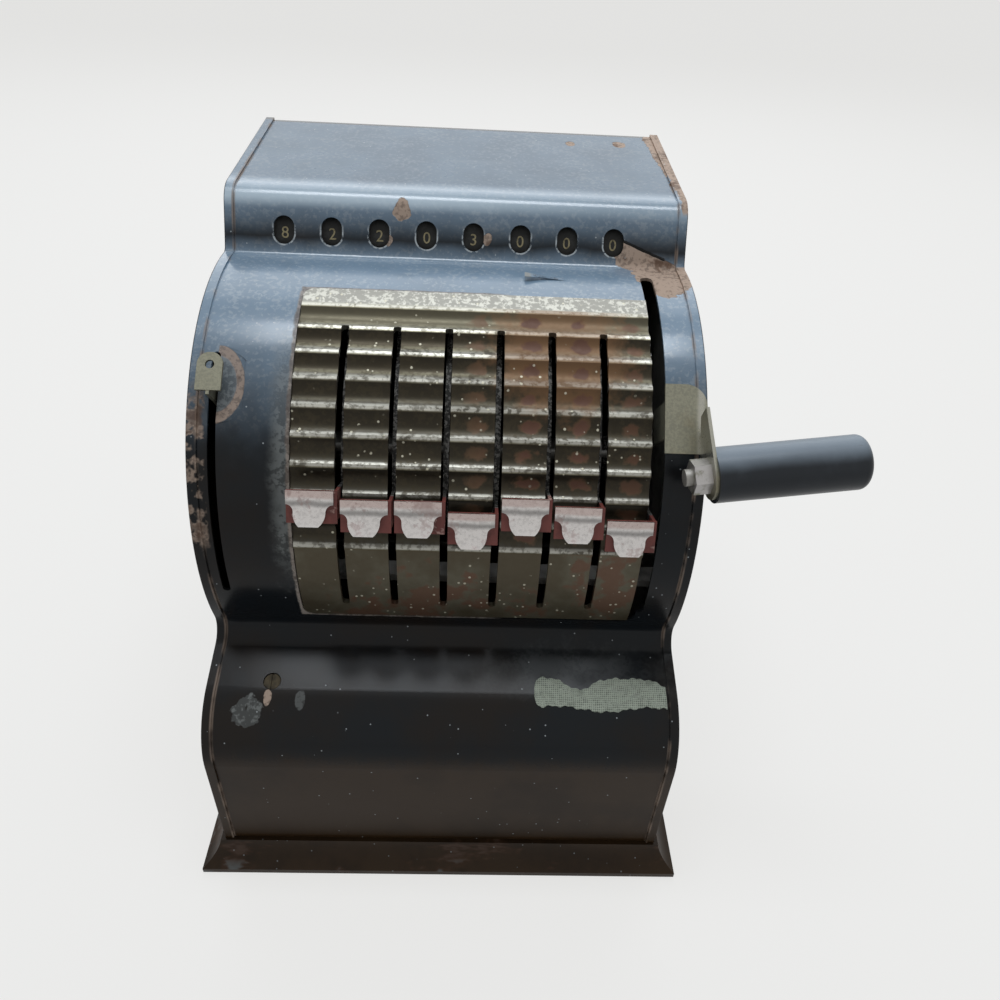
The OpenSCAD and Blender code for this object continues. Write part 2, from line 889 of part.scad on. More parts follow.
// Fixed sleeves that keep the levers in their columns
module shaft_sleeves() {
    gap = 0.3;
    starts = concat([bail_x + handle_t + 3], [for (k = [0:columns - 2]) slot_x(k) + lever_t / 2]);
    color("#a39c86") {
        for (k = [0:columns - 1])
            sleeve(starts[k] + gap, slot_x(k) - hub_left - gap);
        sleeve(frame_left_x + frame_t + gap, bail_x - gap);
    }
}

module sleeve(x0, x1) {
    difference() {
        bar(bulge_c, sleeve_r, x0, x1);
        bar(bulge_c, shaft_r + running, x0 - 1, x1 + 1);
    }
}

module tie_rods() {
    color("#9a978e")
    for (p = rod_places)
        bar(p, rod_r, frame_left_x - rod_end, frame_right_x + frame_t + rod_end);
}

module frame_nuts() {
    color("#8d8a80")
    for (p = rod_places, x = [frame_left_x - nut_t, frame_right_x + frame_t])
        translate([x, p.x, p.y])
            rotate([0, 90, 0])
                hex_nut(2 * rod_r, rod_r + running, nut_t);
}

module zero_stop_bar() {
    color("#6f6a5e")
    across(frame_left_x + frame_t, frame_right_x)
        about_shaft(stop_angle)
            translate([stop_r, -stop_h / 2])
                square([stop_w, stop_h]);
}

// Bar with a leaf for each wheel's pinion
module detent_comb() {
    leaf_w = 4;
    leaf_t = 0.8;
    leaf_from = pinion_r + addendum + free_gap;
    color("#8c7f55") {
        across(frame_left_x + frame_t, frame_right_x)
            translate(dial_c)
                rotate(comb_angle)
                    translate([comb_from, -comb_h / 2])
                        square([comb_w, comb_h]);
        for (i = [0:wheels - 1])
            across(window_x(i) + slot_side - leaf_w / 2, window_x(i) + slot_side + leaf_w / 2)
                translate(dial_c)
                    rotate(comb_angle)
                        translate([leaf_from, -leaf_t / 2])
                            square([comb_from - leaf_from + 1, leaf_t]);
    }
}

// Setting levers

module lever_profile() {
    circle(hub_r + 1);
    arc_band(rim_in, rim_out, teeth_from, rim_to);
    arc_band(lug_in, rim_in + 1, rim_to - 5, rim_to);
    sector_profile(sector_teeth, sector_r, teeth_from, teeth_to, mesh_tooth);
    for (a = spokes)
        rotate(a)
            translate([0, -spoke_w / 2])
                square([rim_in + 1, spoke_w]);
}

module setting_lever(k) {
    x = slot_x(k);
    angle = lever_angle(k);
    color("#8e3b35")
    difference() {
        union() {
            across(x - lever_t / 2, x + lever_t / 2)
                about_shaft(angle)
                    lever_profile();
            across(x - stem_t / 2, x + stem_t / 2)
                about_shaft(angle)
                    translate([rim_in + 1, 0.3])
                        square([tab_r - rim_in - 1, stem_l]);
            across(x - stem_t / 2 - tab_w, x + stem_t / 2)
                about_shaft(angle)
                    translate([tab_r - backing_t, 0])
                        square([backing_t, backing_l]);
            bar(bulge_c, hub_r, x - hub_left, x);
        }
        bar(bulge_c, shaft_r + running, x - hub_left - 1, x + lever_t);
    }
}

// Outline of a finger piece: shoulders, hollow fillets and a round tongue
module tab_outline() {
    shoulder = 0.4 * tab_l;
    half = tongue_w / 2;
    tip = 0.8 * half;
    fillet = (tab_w - tongue_w) / 2;
    translate([-tab_w / 2, -shoulder])
        square([tab_w, shoulder]);
    translate([-half, -tab_l + tip])
        square([tongue_w, tab_l - tip]);
    intersection() {
        translate([0, -tab_l + tip])
            circle(half);
        translate([-half, -tab_l])
            square([tongue_w, tab_l]);
    }
    for (s = [-1, 1])
        difference() {
            translate([s > 0 ? half : -half - fillet, -shoulder - fillet])
                square([fillet, fillet]);
            translate([s * (half + fillet), -shoulder - fillet])
                circle(fillet);
        }
}

// Side view of a finger piece: a flat strip, then an outward sweep
module tab_side() {
    flat = tab_l / 4;
    half_turn = 180;
    sweep_turn = asin((tab_l - flat) / tongue_sweep);
    translate([tab_r, 0])
        square([tab_t, flat]);
    translate([tab_r + tongue_sweep, flat])
        arc_band(tongue_sweep - tab_t, tongue_sweep, half_turn - sweep_turn - 3, half_turn);
}

module finger_tab(k) {
    x = slot_x(k) - stem_t / 2 - tab_w / 2;
    angle = lever_angle(k);
    color("#c9c4c4")
    intersection() {
        across(x - tab_w, x + tab_w)
            about_shaft(angle)
                tab_side();
        swing(angle)
            translate([x, -tab_r + 2, 0])
                rotate([90, 0, 0])
                    linear_extrude(tongue_sweep)
                        tab_outline();
    }
}

// Number wheels

function pinion_turn(k) = to_shaft - 180 / pinion_teeth
    + gear_ratio * (lever_angle(k) - mesh_tooth - mesh_angle);

module number_wheel(i) {
    x = window_x(i);
    right = x + slot_side + pinion_w / 2;
    left = x - column_pitch + slot_side + pinion_w / 2 + 0.4;
    turn = pinion_turn(max(0, i - 1));
    color("#2b2b2b")
    difference() {
        union() {
            bar(dial_c, wheel_r, x - drum_w / 2, x + drum_w / 2);
            bar(dial_c, wheel_hub_r, left, right);
            across(right - pinion_w, right)
                translate(dial_c)
                    rotate(turn)
                        pinion_profile(pinion_teeth, pinion_r);
        }
        difference() {
            bar(dial_c, wheel_r - drum_wall, x - drum_w / 2 + web_t, x + drum_w / 2 + 1);
            bar(dial_c, wheel_hub_r, x - drum_w / 2, x + drum_w);
        }
        bar(dial_c, dial_shaft_r + running, left - 1, right + 1);
    }
}

module carry_pawl(k) {
    x = window_x(k) + slot_side;
    color("#8d8a80")
    difference() {
        union() {
            across(x - pawl_t / 2, x + pawl_t / 2)
                translate(carry_c)
                    rotate(180 - carry_drop) {
                        translate([0, -pawl_arm_w / 2])
                            square([pawl_reach, pawl_arm_w]);
                        translate([-pawl_tail, -pawl_tail_w / 2])
                            square([pawl_tail, pawl_tail_w]);
                    }
            bar(carry_c, pawl_hub_r, x - pawl_hub_half, x + pawl_hub_half);
        }
        bar(carry_c, carry_shaft_r + running, x - pawl_hub_half - 1, x + pawl_hub_half + 1);
    }
}

// Clear lever and the dial shaft that it turns

module clear_lever() {
    color("#b9b3a2")
    difference() {
        union() {
            across(clear_x - clear_t / 2, clear_x + clear_t / 2)
                about_shaft(clear_angle)
                    clear_profile();
            across(clear_x - eye_w / 2, clear_x + eye_w / 2)
                about_shaft(clear_angle)
                    translate([eye_r, -eye_half])
                        square([clear_t, 2 * eye_half]);
            bar(bulge_c, hub_r, clear_x - 2.5, clear_x + 2.5);
        }
        bar(bulge_c, shaft_r + running, clear_x - 4, clear_x + 4);
        swing(clear_angle)
            translate([clear_x, -eye_r + 1, 0])
                rotate([90, 0, 0])
                    linear_extrude(clear_t + 2)
                        eye_cut();
    }
}

module clear_profile() {
    circle(hub_r + 1);
    arc_band(clear_rim_in, clear_rim_out, clear_tooth - clear_travel - 3, 6);
    sector_profile(clear_sector_teeth, clear_sector_r, clear_tooth - clear_travel - 3, clear_tooth + 3,
        clear_tooth);
    for (a = [clear_tooth - clear_travel / 2, clear_tooth - clear_travel])
        rotate(a)
            translate([0, -spoke_w / 2])
                square([clear_rim_in + 1, spoke_w]);
    translate([clear_rim_in + 1, -running])
        square([eye_r - clear_rim_in, eye_stem]);
}

// Hole of the eye, and the corners that round its upper end
module eye_cut() {
    r = eye_w / 2;
    translate([0, eye_half - r]) {
        circle(eye_hole_r);
        difference() {
            translate([-r - 1, 0])
                square([2 * r + 2, r + 1]);
            circle(r + running);
        }
    }
}

module dial_shaft() {
    color("#9a978e") {
        bar(dial_c, dial_shaft_r, clear_x - 2.5, frame_right_x + frame_t + 1);
        across(clear_x - pinion_w / 2, clear_x + pinion_w / 2)
            translate(dial_c)
                rotate(to_shaft - 180 / clear_pinion_teeth)
                    pinion_profile(clear_pinion_teeth, clear_pinion_r);
    }
}

// Handle

// Puts Z along the grip, from the middle of the flange's hole
module at_grip() {
    swing(handle_angle)
        translate([face_out, -boss_place.x, -boss_place.y])
            rotate([0, 90 - grip_tilt, 0])
                children();
}

module handle_arm() {
    hub_end = frame_right_x - 0.3;
    color("#b7ad8e")
    difference() {
        union() {
            across(handle_x, handle_x + handle_t)
                about_shaft(handle_angle)
                    arm_profile();
            bar(bulge_c, hub_r, handle_x, hub_end);
            handle_face();
            handle_flange();
        }
        bar(bulge_c, shaft_r + running, handle_x - 1, hub_end + 1);
        at_grip()
            translate([0, 0, -5])
                cylinder(r = bolt_r + running, h = 10);
    }
}

module arm_profile() {
    circle(hub_r + 1);
    translate([0, -spoke_w / 2])
        square([rim_out, spoke_w]);
    translate([lug_in - 4, -arm_w / 2])
        square([face_r - lug_in + 4 + handle_t, arm_w]);
    rotate(bail_lag)
        translate([lug_in - 12, -spoke_w / 2])
            square([10, spoke_w]);
}

module handle_face() {
    difference() {
        across(handle_x, face_out)
            about_shaft(handle_angle)
                translate([face_r, -face_up])
                    square([handle_t, face_up + face_down]);
        swing(handle_angle)
            translate([face_out - face_corner, -face_r + 1, face_up - face_corner])
                rotate([90, 0, 0])
                    linear_extrude(handle_t + 2)
                        difference() {
                            square(face_corner + 1);
                            circle(face_corner);
                        }
    }
}

module handle_flange() {
    at_grip()
        translate([0, 0, -handle_t])
            linear_extrude(handle_t) {
                circle(boss_out);
                flange_web();
            }
}

// In the flange's plane: x runs down along the bulge and y runs outwards
module flange_web() {
    polygon([[0, -boss_out], [-boss_place.y - 3, face_r - boss_place.x], [-boss_place.y - 1, 0.5],
             [-boss_place.y / 2, boss_out - 2], [0, boss_out]]);
}

module handle_grip() {
    end_round = 3;
    color("#22242a")
    at_grip()
        difference() {
            rotate_extrude()
                grip_half(end_round);
            translate([0, 0, -1])
                cylinder(r = bolt_r + running, h = grip_l - 8);
        }
}

module grip_half(end_round) {
    square([grip_r - end_round, grip_l]);
    square([grip_r, grip_l - end_round]);
    translate([grip_r - end_round, grip_l - end_round])
        circle(end_round);
}

module handle_bolt() {
    color("#9a978e")
    at_grip()
        translate([0, 0, -handle_t - bolt_out])
            cylinder(r = bolt_r, h = handle_t + bolt_out + grip_l - 12);
}

module handle_nut() {
    color("#b9b3a2")
    at_grip()
        translate([0, 0, -handle_t - grip_nut_t])
            hex_nut(2.1 * bolt_r, bolt_r + running, grip_nut_t);
}

module restoring_bail() {
    color("#6f6a5e")
    difference() {
        union() {
            across(bail_x, bail_x + handle_t)
                about_shaft(handle_angle) {
                    circle(hub_r + 1);
                    rotate(bail_lag)
                        translate([0, -spoke_w / 2])
                            square([bail_r + 4, spoke_w]);
                }
            bar(bulge_c, hub_r, bail_x, bail_x + handle_t + 3);
            bar(polar(bail_r, handle_angle - bail_lag), bail_rod_r, bail_x, handle_x);
        }
        bar(bulge_c, shaft_r + running, bail_x - 1, bail_x + handle_t + 4);
    }
}

base_pan();
bottom_plate();
front_cover();
side_panel_left();
side_panel_right();
back_cover();
index_plate();
frame_left();
frame_right();
main_shaft();
shaft_sleeves();
carry_shaft();
tie_rods();
frame_nuts();
zero_stop_bar();
detent_comb();
cover_screws();
foot_screws();
for (k = [0:columns - 1])
    setting_lever(k);
for (k = [0:columns - 1])
    finger_tab(k);
for (i = [0:wheels - 1])
    number_wheel(i);
for (k = [0:columns - 1])
    carry_pawl(k);
dial_shaft();
clear_lever();
handle_arm();
handle_grip();
handle_bolt();
handle_nut();
restoring_bail();
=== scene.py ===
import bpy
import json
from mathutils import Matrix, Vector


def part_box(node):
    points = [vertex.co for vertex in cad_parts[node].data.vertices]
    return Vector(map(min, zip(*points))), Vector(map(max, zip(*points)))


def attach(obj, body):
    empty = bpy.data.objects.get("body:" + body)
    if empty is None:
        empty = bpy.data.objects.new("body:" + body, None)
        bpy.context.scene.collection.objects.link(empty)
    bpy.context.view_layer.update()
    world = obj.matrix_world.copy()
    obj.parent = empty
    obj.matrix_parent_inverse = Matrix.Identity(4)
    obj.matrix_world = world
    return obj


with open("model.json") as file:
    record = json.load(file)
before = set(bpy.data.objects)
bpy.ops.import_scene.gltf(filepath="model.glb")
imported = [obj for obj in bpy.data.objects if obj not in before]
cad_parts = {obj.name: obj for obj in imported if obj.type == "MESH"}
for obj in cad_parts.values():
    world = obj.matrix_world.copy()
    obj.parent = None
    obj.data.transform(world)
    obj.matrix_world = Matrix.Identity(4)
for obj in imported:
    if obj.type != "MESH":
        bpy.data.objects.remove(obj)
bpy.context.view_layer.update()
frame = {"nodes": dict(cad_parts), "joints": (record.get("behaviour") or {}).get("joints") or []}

import json
import math

import bmesh
import bpy
from bpy.props import FloatProperty, FloatVectorProperty, IntVectorProperty, PointerProperty
from mathutils import Vector

bl_info = {
    "name": "Lever adding machine",
    "version": (1, 0, 0),
    "blender": (4, 5, 0),
    "location": "View3D > Sidebar > Adding machine",
    "description": "Finishes, numerals and stage of a lever adding machine",
    "category": "Object",
}

COLUMNS = range(1, 8)
WHEELS = range(1, 9)


def joint_place(name):
    """Where a joint of the model turns."""
    return next(Vector(joint["pos_m"]) for joint in frame["joints"] if joint["name"] == name)


# Sizes that the part's source also gives, in metres
PINION_REACH = 0.01275  # from a window's middle to its wheel's right side
RIDGE_RISE = 0.0008  # the index plate's ridges over the bulge
PLATE_BORDER = 0.0035  # the index plate's edge under the cover
PANEL_GAP = 0.0024  # from the wheels to the window panel's face
WINDOW_STRAIGHT = 0.00135  # half of a window's straight side
ROLL_RADIUS, ROLL_HEIGHT = 0.0265, 0.0645  # the roll over the foot panel
CLEAR_X = -0.084475  # the clear lever's middle, across

# Slopes of the window panel and the shelf, in radians, and the steps of plate and wheels, in degrees
WINDOW_SLOPE, SHELF_SLOPE = math.radians(63), math.radians(17)
TOP_RIDGE, DIGIT_STEP, WHEEL_STEP = 70.5, 720 / 105, 36
RIDGES = 10

# Places that the finishes follow, measured from the model
SHAFT = joint_place("lever_1_swing")
DIAL = joint_place("wheel_1_turn")
PITCH = (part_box("number_wheel_8")[0].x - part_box("number_wheel_1")[0].x) / 7
WHEEL_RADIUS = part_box("number_wheel_1")[1].z - DIAL.z
BULGE_RADIUS = SHAFT.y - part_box("index_plate")[0].y - RIDGE_RISE
PLATE_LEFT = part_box("index_plate")[0].x + PLATE_BORDER
COVER_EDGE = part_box("front_cover")[1].x
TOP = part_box("front_cover")[1].z
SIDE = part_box("side_panel_right")[1].x
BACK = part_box("back_cover")[1].y
WINDOW = DIAL + Vector((0, -math.sin(WINDOW_SLOPE), math.cos(WINDOW_SLOPE))) * (WHEEL_RADIUS + PANEL_GAP)
ROLL = Vector((0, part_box("front_cover")[0].y + ROLL_RADIUS, ROLL_HEIGHT))

# Depth of the finishes' relief, and a Mix node's colour sockets: factor, two colours and the result
BUMP_DEPTH = 0.0003
COLOUR_MIX = 0, 6, 7, 2


def window_x(number):
    """Place across of a window, counted from the left."""
    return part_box(f"number_wheel_{number}")[1].x - PINION_REACH


def on_bulge(x, angle, lift=0.0):
    """A point on the bulge at a place across and an angle above the front, in degrees."""
    reach = BULGE_RADIUS + lift
    turn = math.radians(angle)
    return Vector((x, SHAFT.y - reach * math.cos(turn), SHAFT.z + reach * math.sin(turn)))


def on_shelf(x, run, lift):
    """A point on the shelf behind the roll, or on the roll where the run is negative."""
    turn = SHELF_SLOPE - min(run, 0) / ROLL_RADIUS
    out = Vector((0, -math.sin(turn), math.cos(turn)))
    back = Vector((0, math.cos(SHELF_SLOPE), math.sin(SHELF_SLOPE)))
    return Vector((x, 0, 0)) + ROLL + out * (ROLL_RADIUS + lift) + back * max(run, 0)


def grip_ends():
    """Middles of the grip's inner and outer ends."""
    points = [vert.co for vert in frame["nodes"]["handle_grip"].data.vertices]
    low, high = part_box("handle_grip")
    third = (high.x - low.x) / 3
    ends = [p for p in points if p.x < low.x + third], [p for p in points if p.x > high.x - third]
    return [sum(end, Vector()) / len(end) for end in ends]


def shade(colour, share):
    """A lighter or darker version of a colour."""
    return [part * share for part in colour]


def colour_property(name, description, default):
    """A colour that a user may change."""
    return FloatVectorProperty(name=name, description=description, default=default, subtype="COLOR", size=3,
                               min=0, max=1)


class EnamelSettings(bpy.types.PropertyGroup):
    """Colours of the painted sheet metal."""
    sound: colour_property("Sound enamel", "Black enamel where it is clean", (0.008, 0.010, 0.012))
    # Dust on the upper faces, lightened further as a painted sheen of the light from above
    haze: colour_property("Haze", "Dusty scuffed enamel on the upper faces", (0.165, 0.240, 0.320))
    # A painted highlight along the crown's bend over the windows
    crown: colour_property("Rubbed crown", "Enamel rubbed pale over the windows", (0.58, 0.68, 0.75))
    brown: colour_property("Browned enamel", "Enamel of the foot and the base", (0.030, 0.0160, 0.0065))
    bare: colour_property("Bare patches", "Pinkish metal without enamel", (0.40, 0.300, 0.235))
    rubbed: colour_property("Rubbed metal", "Grey metal under thin enamel", (0.25, 0.26, 0.25))
    crack: colour_property("Crack", "Dark crack beside the last window", (0.004, 0.004, 0.004))
    rust: colour_property("Rust", "Brown rust at seams and chips", (0.085, 0.040, 0.022))
    tape: colour_property("Old tape", "Torn strip of cloth tape on the shelf", (0.46, 0.50, 0.41))
    dust: colour_property("Dust", "Pale specks and scuffs", (0.52, 0.55, 0.56))
    red: colour_property("Lever red", "Red enamel on the levers' outer ends", (0.150, 0.038, 0.030))


class MetalSettings(bpy.types.PropertyGroup):
    """Colours of the plated and plain metal."""
    plate: colour_property("Index plate", "Aged nickel of the index plate", (0.185, 0.170, 0.115))
    tarnish: colour_property("Tarnish", "Dark olive tarnish in the grooves", (0.060, 0.047, 0.025))
    ridge: colour_property("Ridges", "Rubbed nickel on the ridges", (0.56, 0.55, 0.49))
    blotch: colour_property("Blotches", "Brown stains on the index plate", (0.090, 0.028, 0.012))
    orange: colour_property("Orange rust", "Orange stains on the index plate", (0.17, 0.080, 0.026))
    fleck: colour_property("Flecks", "Pale flecks on the index plate", (0.62, 0.59, 0.46))
    tab: colour_property("Finger pieces", "Worn nickel of the finger pieces", (0.54, 0.52, 0.51))
    copper: colour_property("Undercoat", "Copper undercoat under worn nickel", (0.34, 0.20, 0.17))
    handle: colour_property("Handle", "Satin nickel of the handle", (0.235, 0.230, 0.175))
    brass: colour_property("Brass", "Clouds on the handle, and the screws", (0.55, 0.42, 0.22))
    steel: colour_property("Steel", "Plain steel of the works", (0.30, 0.29, 0.27))


class WheelSettings(bpy.types.PropertyGroup):
    """Number wheels and the grip."""
    black: colour_property("Wheels", "Matt black of the number wheels", (0.016, 0.016, 0.015))
    ink: colour_property("Numerals", "Pale paint of the numerals", (0.36, 0.30, 0.17))
    grip: colour_property("Grip", "Black lacquer of the grip", (0.020, 0.023, 0.027))
    # A painted sheen of reflected light on the grip's upper side
    sheen: colour_property("Grip's top", "Hazy lacquer on the grip's upper side", (0.22, 0.26, 0.30))
    scuff: colour_property("Grip's scuffs", "Grey scuffs on the grip", (0.15, 0.15, 0.15))
    height: FloatProperty(name="Numeral height", description="Height of a numeral on its wheel",
                          default=0.0046, min=0.002, max=0.009, unit="LENGTH")
    relief: FloatProperty(name="Numeral relief", description="How far the numerals' paint stands out",
                          default=0.00006, min=0.00001, max=0.0003, unit="LENGTH")
    middle: FloatProperty(name="Shown place", description="Angle of the shown numerals above the front",
                          default=math.radians(24), subtype="ANGLE", unit="ROTATION")
    shown: IntVectorProperty(name="Total", description="Numerals that the windows show", size=8,
                             min=0, max=9, default=(8, 2, 2, 0, 3, 0, 0, 0))


class StageSettings(bpy.types.PropertyGroup):
    """Floor, light and camera."""
    floor: colour_property("Floor", "Pale floor", (0.87, 0.865, 0.85))
    surround: colour_property("Surround", "Light from all sides", (0.92, 0.96, 1.0))
    strength: FloatProperty(name="Surround strength", description="Strength of the light from all sides",
                            default=0.40, min=0, max=3)
    strip: FloatProperty(name="Strip lamp", description="Power of the lamp overhead", default=6,
                         min=0, max=200, unit="POWER")
    soft: FloatProperty(name="Soft lamp", description="Power of the large lamp above and behind",
                        default=10, min=0, max=200, unit="POWER")
    eye: FloatVectorProperty(name="Camera place", description="Where the camera stands",
                             default=(0.00739, -0.30298, 0.34927), subtype="TRANSLATION", unit="LENGTH")
    turn: FloatVectorProperty(name="Camera turn", description="How the camera is turned",
                              default=tuple(math.radians(a) for a in (52.0652, -2.6482, -0.7445)),
                              subtype="EULER", unit="ROTATION")
    lens: FloatProperty(name="Lens", description="Focal length on a 36 mm sensor", default=29.33,
                        min=10, max=200)


class MachineSettings(bpy.types.PropertyGroup):
    """All the settings of the machine."""
    enamel: PointerProperty(type=EnamelSettings)
    metal: PointerProperty(type=MetalSettings)
    wheel: PointerProperty(type=WheelSettings)
    stage: PointerProperty(type=StageSettings)


class Wire:
    """A node's output, which can be used in sums such as 1 - mask."""

    def __init__(self, paint, socket):
        self.paint = paint
        self.socket = socket

    def maths(self, operation, *terms):
        return self.paint.node("ShaderNodeMath", {"operation": operation}, dict(enumerate(terms)))

    def out(self, name):
        return Wire(self.paint, self.socket.node.outputs[name])

    def root(self):
        return self.maths("SQRT", self)

    def __add__(self, other):
        return self.maths("ADD", self, other)

    def __sub__(self, other):
        return self.maths("SUBTRACT", self, other)

    def __rsub__(self, other):
        return self.maths("SUBTRACT", other, self)

    def __mul__(self, other):
        return self.maths("MULTIPLY", self, other)

    def __truediv__(self, other):
        return self.maths("DIVIDE", self, other)

    def __mod__(self, other):
        return self.maths("FLOORED_MODULO", self, other)

    def __and__(self, other):
        return self.maths("MINIMUM", self, other)

    def __or__(self, other):
        return self.maths("MAXIMUM", self, other)

    def __abs__(self):
        return self.maths("ABSOLUTE", self)

    __radd__ = __add__
    __rmul__ = __mul__


class Paint:
    """One procedural material while it is being mixed."""

    def __init__(self, name, **constants):
        self.material = bpy.data.materials.new(name)
        self.material.use_nodes = True
        self.tree = self.material.node_tree
        self.shader = self.tree.nodes["Principled BSDF"]
        for socket, value in constants.items():
            self.shader.inputs[socket.replace("_", " ")].default_value = value
        self.place = self.node("ShaderNodeTexCoord", {}, {}, "Object")
        self.x = self.node("ShaderNodeSeparateXYZ", {}, {0: self.place})
        self.y = self.x.out("Y")
        self.z = self.x.out("Z")

    def node(self, kind, settings, sockets, output=0):
        """Adds a node with its settings and the values or links of its sockets."""
        node = self.tree.nodes.new(kind)
        for name, value in settings.items():
            if name == "stops":
                ramp = node.color_ramp.elements
                while len(ramp) < len(value):
                    ramp.new(1)
                for stop, (position, colour) in zip(ramp, value):
                    stop.position = position
                    stop.color = (*colour, 1)
            else:
                setattr(node, name, value)
        for name, value in sockets.items():
            if isinstance(value, Wire):
                self.tree.links.new(value.socket, node.inputs[name])
            else:
                node.inputs[name].default_value = value
        return Wire(self, node.outputs[output])

    def ease(self, value, low, high):
        """0 below low and 1 above high, with a soft step between; low may be the larger."""
        return self.node("ShaderNodeMapRange", {"interpolation_type": "SMOOTHSTEP"},
                         {"Value": value, "From Min": low, "From Max": high})

    def within(self, value, low, high, soft):
        """1 between low and high, with soft ends."""
        return self.ease(value, low - soft, low + soft) * self.ease(value, high + soft, high - soft)

    def lay(self, under, mask, over):
        """One colour over another where the mask is 1."""
        colours = [tint if isinstance(tint, Wire) else (*tint, 1) for tint in (under, over)]
        factor, first, second, result = COLOUR_MIX
        return self.node("ShaderNodeMix", {"data_type": "RGBA"},
                         {factor: mask, first: colours[0], second: colours[1]}, result)

    def vector(self, operation, *terms, output=0):
        """Sums on places."""
        return self.node("ShaderNodeVectorMath", {"operation": operation}, dict(enumerate(terms)), output)

    def grain(self, scale, detail, rough, stretch=None):
        """Soft irregular noise about 0.5, which may be stretched along the axes."""
        where = self.vector("MULTIPLY", self.place, stretch) if stretch else self.place
        return self.node("ShaderNodeTexNoise", {}, {"Vector": where, "Scale": scale, "Detail": detail,
                                                    "Roughness": rough})

    def specks(self, scale, size, share):
        """Small round specks in a share of the cells."""
        cell = self.node("ShaderNodeTexVoronoi", {}, {"Vector": self.place, "Scale": scale}, "Distance")
        pick = self.node("ShaderNodeSeparateColor", {}, {0: cell.out("Color")})
        return self.ease(cell, size, size * 0.55) * self.ease(pick, 1 - share, 1.01 - share)

    def spot(self, centre, size):
        """Distance from an oval's middle, 1 at its edge."""
        offset = self.vector("SUBTRACT", self.place, centre)
        return self.vector("LENGTH", self.vector("DIVIDE", offset, size), output="Value")

    def about(self, axis):
        """Distance and angle about an axis along X, with the angle in degrees above the front."""
        back = self.y - axis.y
        up = self.z - axis.z
        angle = up.maths("ARCTAN2", up, 0 - back)
        return (back * back + up * up).root(), angle * (180 / math.pi)

    def finish(self, height, **links):
        """Links the surface's changing values and its relief to the shader."""
        for socket, wire in links.items():
            self.tree.links.new(wire.socket, self.shader.inputs[socket.replace("_", " ")])
        bump = self.node("ShaderNodeBump", {}, {"Height": height, "Distance": BUMP_DEPTH, "Strength": 1.0})
        self.tree.links.new(bump.socket, self.shader.inputs["Normal"])
        return self.material


def cloudy(name, under, over, noise, spread, roughness, metallic=None, **constants):
    """A plain material: one colour in soft clouds over another, with roughness that follows them."""
    paint = Paint(name, **constants)
    cloud = paint.grain(*noise)
    links = {"Base_Color": paint.lay(under, paint.ease(cloud, *spread), over),
             "Roughness": roughness[0] + cloud * roughness[1]}
    if metallic:
        links["Metallic"] = metallic - cloud * 0.3
    return paint.finish(cloud, **links)


def dress(material, *nodes):
    """Gives model nodes a material."""
    for name in nodes:
        mesh = frame["nodes"][name].data
        mesh.materials.clear()
        mesh.materials.append(material)


def new_piece(name, shape, material, body):
    """Makes a mesh object of a bmesh that rides on a body."""
    mesh = bpy.data.meshes.new(name)
    shape.to_mesh(mesh)
    shape.free()
    mesh.materials.append(material)
    piece = bpy.data.objects.new(name, mesh)
    bpy.context.scene.collection.objects.link(piece)
    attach(piece, body)


# Where the enamel has gone and the index plate has rusted, as in the photograph: ovals' middles and half sizes
TORN_PATCH = (((0.0735, 0.0205, 0.2262), (0.0105, 0.0070, 0.0060)),
              ((0.0830, 0.0100, 0.2212), (0.0115, 0.0165, 0.0060)))
CHIPS = (((-0.0226, 0.0273, 0.2382), (0.0034, 0.0040, 0.0046)),
         ((-0.0280, 0.0219, 0.2277), (0.0017, 0.0020, 0.0024)),
         ((0.0121, 0.0226, 0.2291), (0.0019, 0.0020, 0.0030)),
         ((0.0727, 0.0997, 0.2484), (0.0030, 0.0040, 0.0020)),
         ((0.0500, 0.0985, 0.2484), (0.0022, 0.0030, 0.0020)),
         ((-0.0690, -0.0985, 0.0890), (0.0016, 0.0036, 0.0030)))
LEVER_RING = on_bulge(CLEAR_X, 48), (0.0107, 0.0146, 0.0146)
SHELF_SCRAPE = (-0.0766, -0.1045, 0.0868), (0.0066, 0.0085, 0.0060)
SHELF_MARK = (-0.0562, -0.0990, 0.0884), (0.0020, 0.0050, 0.0030)
SHELF_SMEAR = (0.0480, -0.0850, 0.0930), (0.0480, 0.0140, 0.0140)
PLATE_RUST = on_bulge(0.0400, 60), (0.0300, 0.0330, 0.0260)

# The crack's line, how steeply it falls to the right, and the places across where it begins and ends
CRACK_X, CRACK_Z, CRACK_FALL = 0.0669, 0.2308, 0.354
CRACK_ENDS = 0.0672, 0.0850

# Soft-edged bands of the enamel: the brow, lightened by dust and a painted sheen, the flat top, the crest with
# its painted highlight, the brown foot and the base's lip
BROW_HEIGHT, BROW_DEPTH = (0.2120, 0.2255, 0.0030), (0.0120, 0.0260, 0.0035)
FLAT_TOP, CREST_HIGHLIGHT_FRONT = (0.0345, 0.0450), (0.0440, 0.0360)
FOOT, LIP = (0.0730, 0.0610), (0.0062, 0.0030)

# The row of windows: how far left its middle lies, its half length and the foot of its panel
ROW_SHIFT, ROW_HALF, ROW_FOOT = 0.0031, (0.0735, 0.0730), (0.2225, 0.2232)


